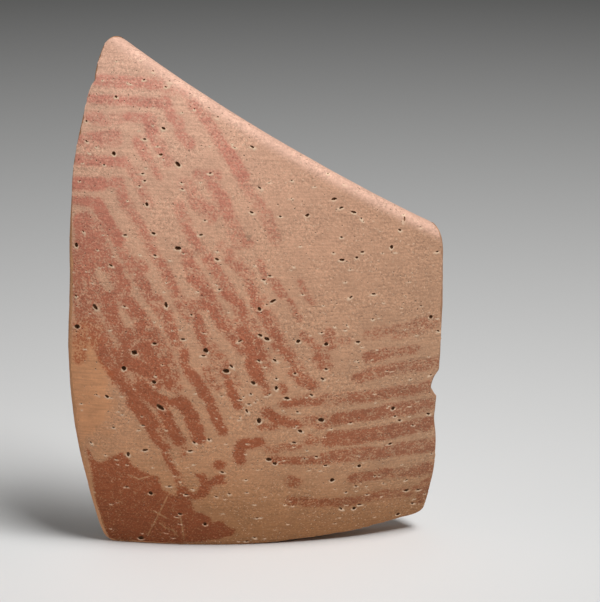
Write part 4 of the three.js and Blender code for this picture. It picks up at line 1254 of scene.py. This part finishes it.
def clayFinish():
    finish, n, shader = newFinish("firedClay")
    wall = attributeOf(n, "wallPlace", "Vector")
    look = clayLook
    away = attributeOf(n, "edgeAway")
    depth = n.part("Z", wall) * 1000
    torn = n.between(*look["tornAway"], away) * n.between(*look["tornFrom"], depth)
    torn = torn * n.between(*look["tornTo"], depth)
    inner = n.between(*look["innerFrom"], depth) * (1 - torn)
    core = n.between(*look["coreFrom"], depth) * n.between(*look["coreTo"], depth) * torn
    mottle = n.noise(wall, *look["mottle"]) * look["mottleShare"]
    mottle = mottle + n.noise(wall, *look["closeMottle"]) * look["closeShare"]
    sand, lines = n.noise(wall, *look["sand"]), n.noise(wall, *look["lines"])
    # painted shade: the worn clay darkens towards the right
    rightwards = n.between(*look["rightwards"], n.inFrame("X"))
    worn = n.mix(rightwards, colours["clayWorn"], colours["clayWornShadedRight"])
    colour = n.mix(torn, worn, colours["clayTorn"])
    colour = n.mix(inner, colour, colours["clayInner"])
    cored = core * n.between(*look["coreRange"], mottle) * look["coreShare"]
    colour = n.mix(cored, colour, colours["clayCore"])
    level = 1 + (mottle - 0.5) * look["mottleLevel"] + (sand - 0.5) * look["sandLevel"]
    level = level + (lines - 0.5) * look["linesLevel"] * (1 - torn)
    grit = n.between(*look["gritRange"], n.noise(wall, *look["gritNoise"]))
    gritShare = grit * (look["gritShare"] + torn * look["gritInBreaks"])
    colour = n.mix(gritShare, n.vector("SCALE", colour, level), colours["grit"])
    lumps = n.noise(wall, *look["lumps"]) * (look["lumpBump"] + torn * look["lumpsInBreaks"])
    dress(n, shader, "clay", colour, sand * look["sandBump"] + lumps + lines * look["linesBump"])
    return finish


finishes = {"slip": buffSlipFinish(), "paint": redPaintFinish(), "void": voidFinish(), "clay": clayFinish()}
print("finishes", ", ".join(finishes))

cutters = voidCutters(finishes["void"])
clayPiece = clayBody(finishes["clay"], cutters)
slipPiece = buffSlip(finishes["slip"], cutters)
bpy.data.objects.remove(cutters)


def placeFilms():
    mesh = slipPiece.data
    corners = [tuple(p.vertices) for p in mesh.polygons]
    surface = BVHTree.FromPolygons([v.co.copy() for v in mesh.vertices], corners)
    names = [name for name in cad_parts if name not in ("clay_body", "buff_slip")]
    films = {name: paintFilm(name, finishes["paint"], surface) for name in names}
    print("films", len(films), "with", sum(len(f.data.polygons) for f in films.values()), "faces")
    return films


def nearRims(places):
    # how far places are from the nearest void's rim, and how much they lie on its lit side
    nearest = treeOf(np.c_[voidRows[:, :2], 0 * voidRows[:, 0]])
    own = np.array([nearest.find((x, y, 0))[1] for x, y in places.tolist()])
    along, down, long, wide, turn = voidRows[own].T
    x, y = (places[:, 0] - along) * ringShare(places[:, 1]), places[:, 1] - down
    u, v = x * np.cos(turn) + y * np.sin(turn), y * np.cos(turn) - x * np.sin(turn)
    away = (np.hypot(u / long, v / wide) * 2 - 1) * np.minimum(long, wide) / 2
    side = (x * marks["rimWay"][0] + y * marks["rimWay"][1]) / np.maximum(np.hypot(x, y), 1e-6)
    return np.clip(away, 0, 2), side


def dressSlip():
    # what the slip's finish needs to know: paint, the rims of voids for the painted highlight on their lit
    # side, and where it has worn smooth
    place = bowlPlace(pointsOf(slipPiece.data))
    x, y = (place[:, :2] - marks["wornPlace"]).T
    wayX, wayY = marks["wornWay"]
    lengthways, sideways = x * wayX + y * wayY, y * wayX - x * wayY
    off = np.hypot(lengthways / marks["wornLong"], sideways / marks["wornWide"])
    worn = smoothStep(*marks["wornFades"], off + marks["wornUneven"] * roughly(place[:, :2], 5, 9))
    rimAway, rimSide = nearRims(place[:, :2])
    place[:, 2] = np.maximum(place[:, 2] - marks["skinDepth"], 0)
    setValues(slipPiece.data, wallPlace=place / 1000, paint=paintAt(place[:, :2]), worn=worn,
              rimAway=rimAway, rimSide=rimSide)


films = placeFilms()
dressSlip()
finished(clayPiece, "clay", "clay_body")
finished(slipPiece, "slip", "buff_slip")
for node, film in films.items():
    finished(film, "paint", node)

# The floor runs out into an even grey, as the world behind it: away from the sherd it glows that grey, a
# painted falloff of the lamps' light
ground = {"reach": 4.0, "nearColour": (0.74, 0.74, 0.735, 1), "farGrey": (0.102, 0.102, 0.100, 1),
          "fadeFrom": 0.04, "fadeTo": 0.55}
lamps = {
    "key": {"azimuth": 38, "elevation": 58, "distance": 1.5, "size": 0.6, "level": 1.1},
    "fill": {"azimuth": -65, "elevation": 25, "distance": 1.5, "size": 1.2, "level": 0.09},
    "back": {"azimuth": 205, "elevation": 50, "distance": 1.6, "size": 1.8, "level": 0.08},
}


def addFloor():
    reach = ground["reach"]
    corners = reach * np.array([(-1, -1, 0), (1, -1, 0), (1, 1, 0), (-1, 1, 0)])
    floor = makePiece("floor", corners, [(0, 1, 2, 3)])
    finish, n, shader = newFinish("paleFloor")
    shader.inputs["Base Color"].default_value = ground["nearColour"]
    shader.inputs["Roughness"].default_value = 0.9
    place = n.node("ShaderNodeTexCoord", None, None, "Object")
    away = n.node("ShaderNodeVectorMath", {"operation": "LENGTH"}, {0: place}, "Value")
    far = n.node("ShaderNodeMapRange", None,
                 {"Value": away, "From Min": ground["fadeFrom"], "From Max": ground["fadeTo"]})
    # painted falloff: far from the sherd the floor glows an even grey instead of being lit
    paintedFalloffGlow = n.node("ShaderNodeEmission", None, {"Color": ground["farGrey"], "Strength": 1.0})
    output = next(node for node in finish.node_tree.nodes if node.type == "OUTPUT_MATERIAL")
    both = n.node("ShaderNodeMixShader", None, {0: far, 1: Value(n, shader.outputs[0]), 2: paintedFalloffGlow})
    n.tree.links.new(both.socket, output.inputs["Surface"])
    floor.data.materials.append(finish)


def addLamps():
    for name, lamp in lamps.items():
        light = bpy.data.lights.new(name, "AREA")
        light.size = lamp["size"]
        light.energy = lamp["level"] * (math.pi * lamp["distance"]) ** 2
        around, up = math.radians(lamp["azimuth"]), math.radians(lamp["elevation"])
        way = Vector((math.sin(around) * math.cos(up), -math.cos(around) * math.cos(up), math.sin(up)))
        thing = bpy.data.objects.new(name, light)
        thing.location = Vector((0, 0, 0.05)) + way * lamp["distance"]
        thing.rotation_euler = (-way).to_track_quat("-Z", "Y").to_euler()
        thing.visible_camera = False
        bpy.context.scene.collection.objects.link(thing)
    world = bpy.data.worlds.new("greyRoom")
    world.use_nodes = True
    world.node_tree.nodes["Background"].inputs["Color"].default_value = ground["farGrey"]
    bpy.context.scene.world = world
    bpy.context.scene.view_settings.view_transform = "Standard"


addFloor()
addLamps()
print("lamps and floor set")
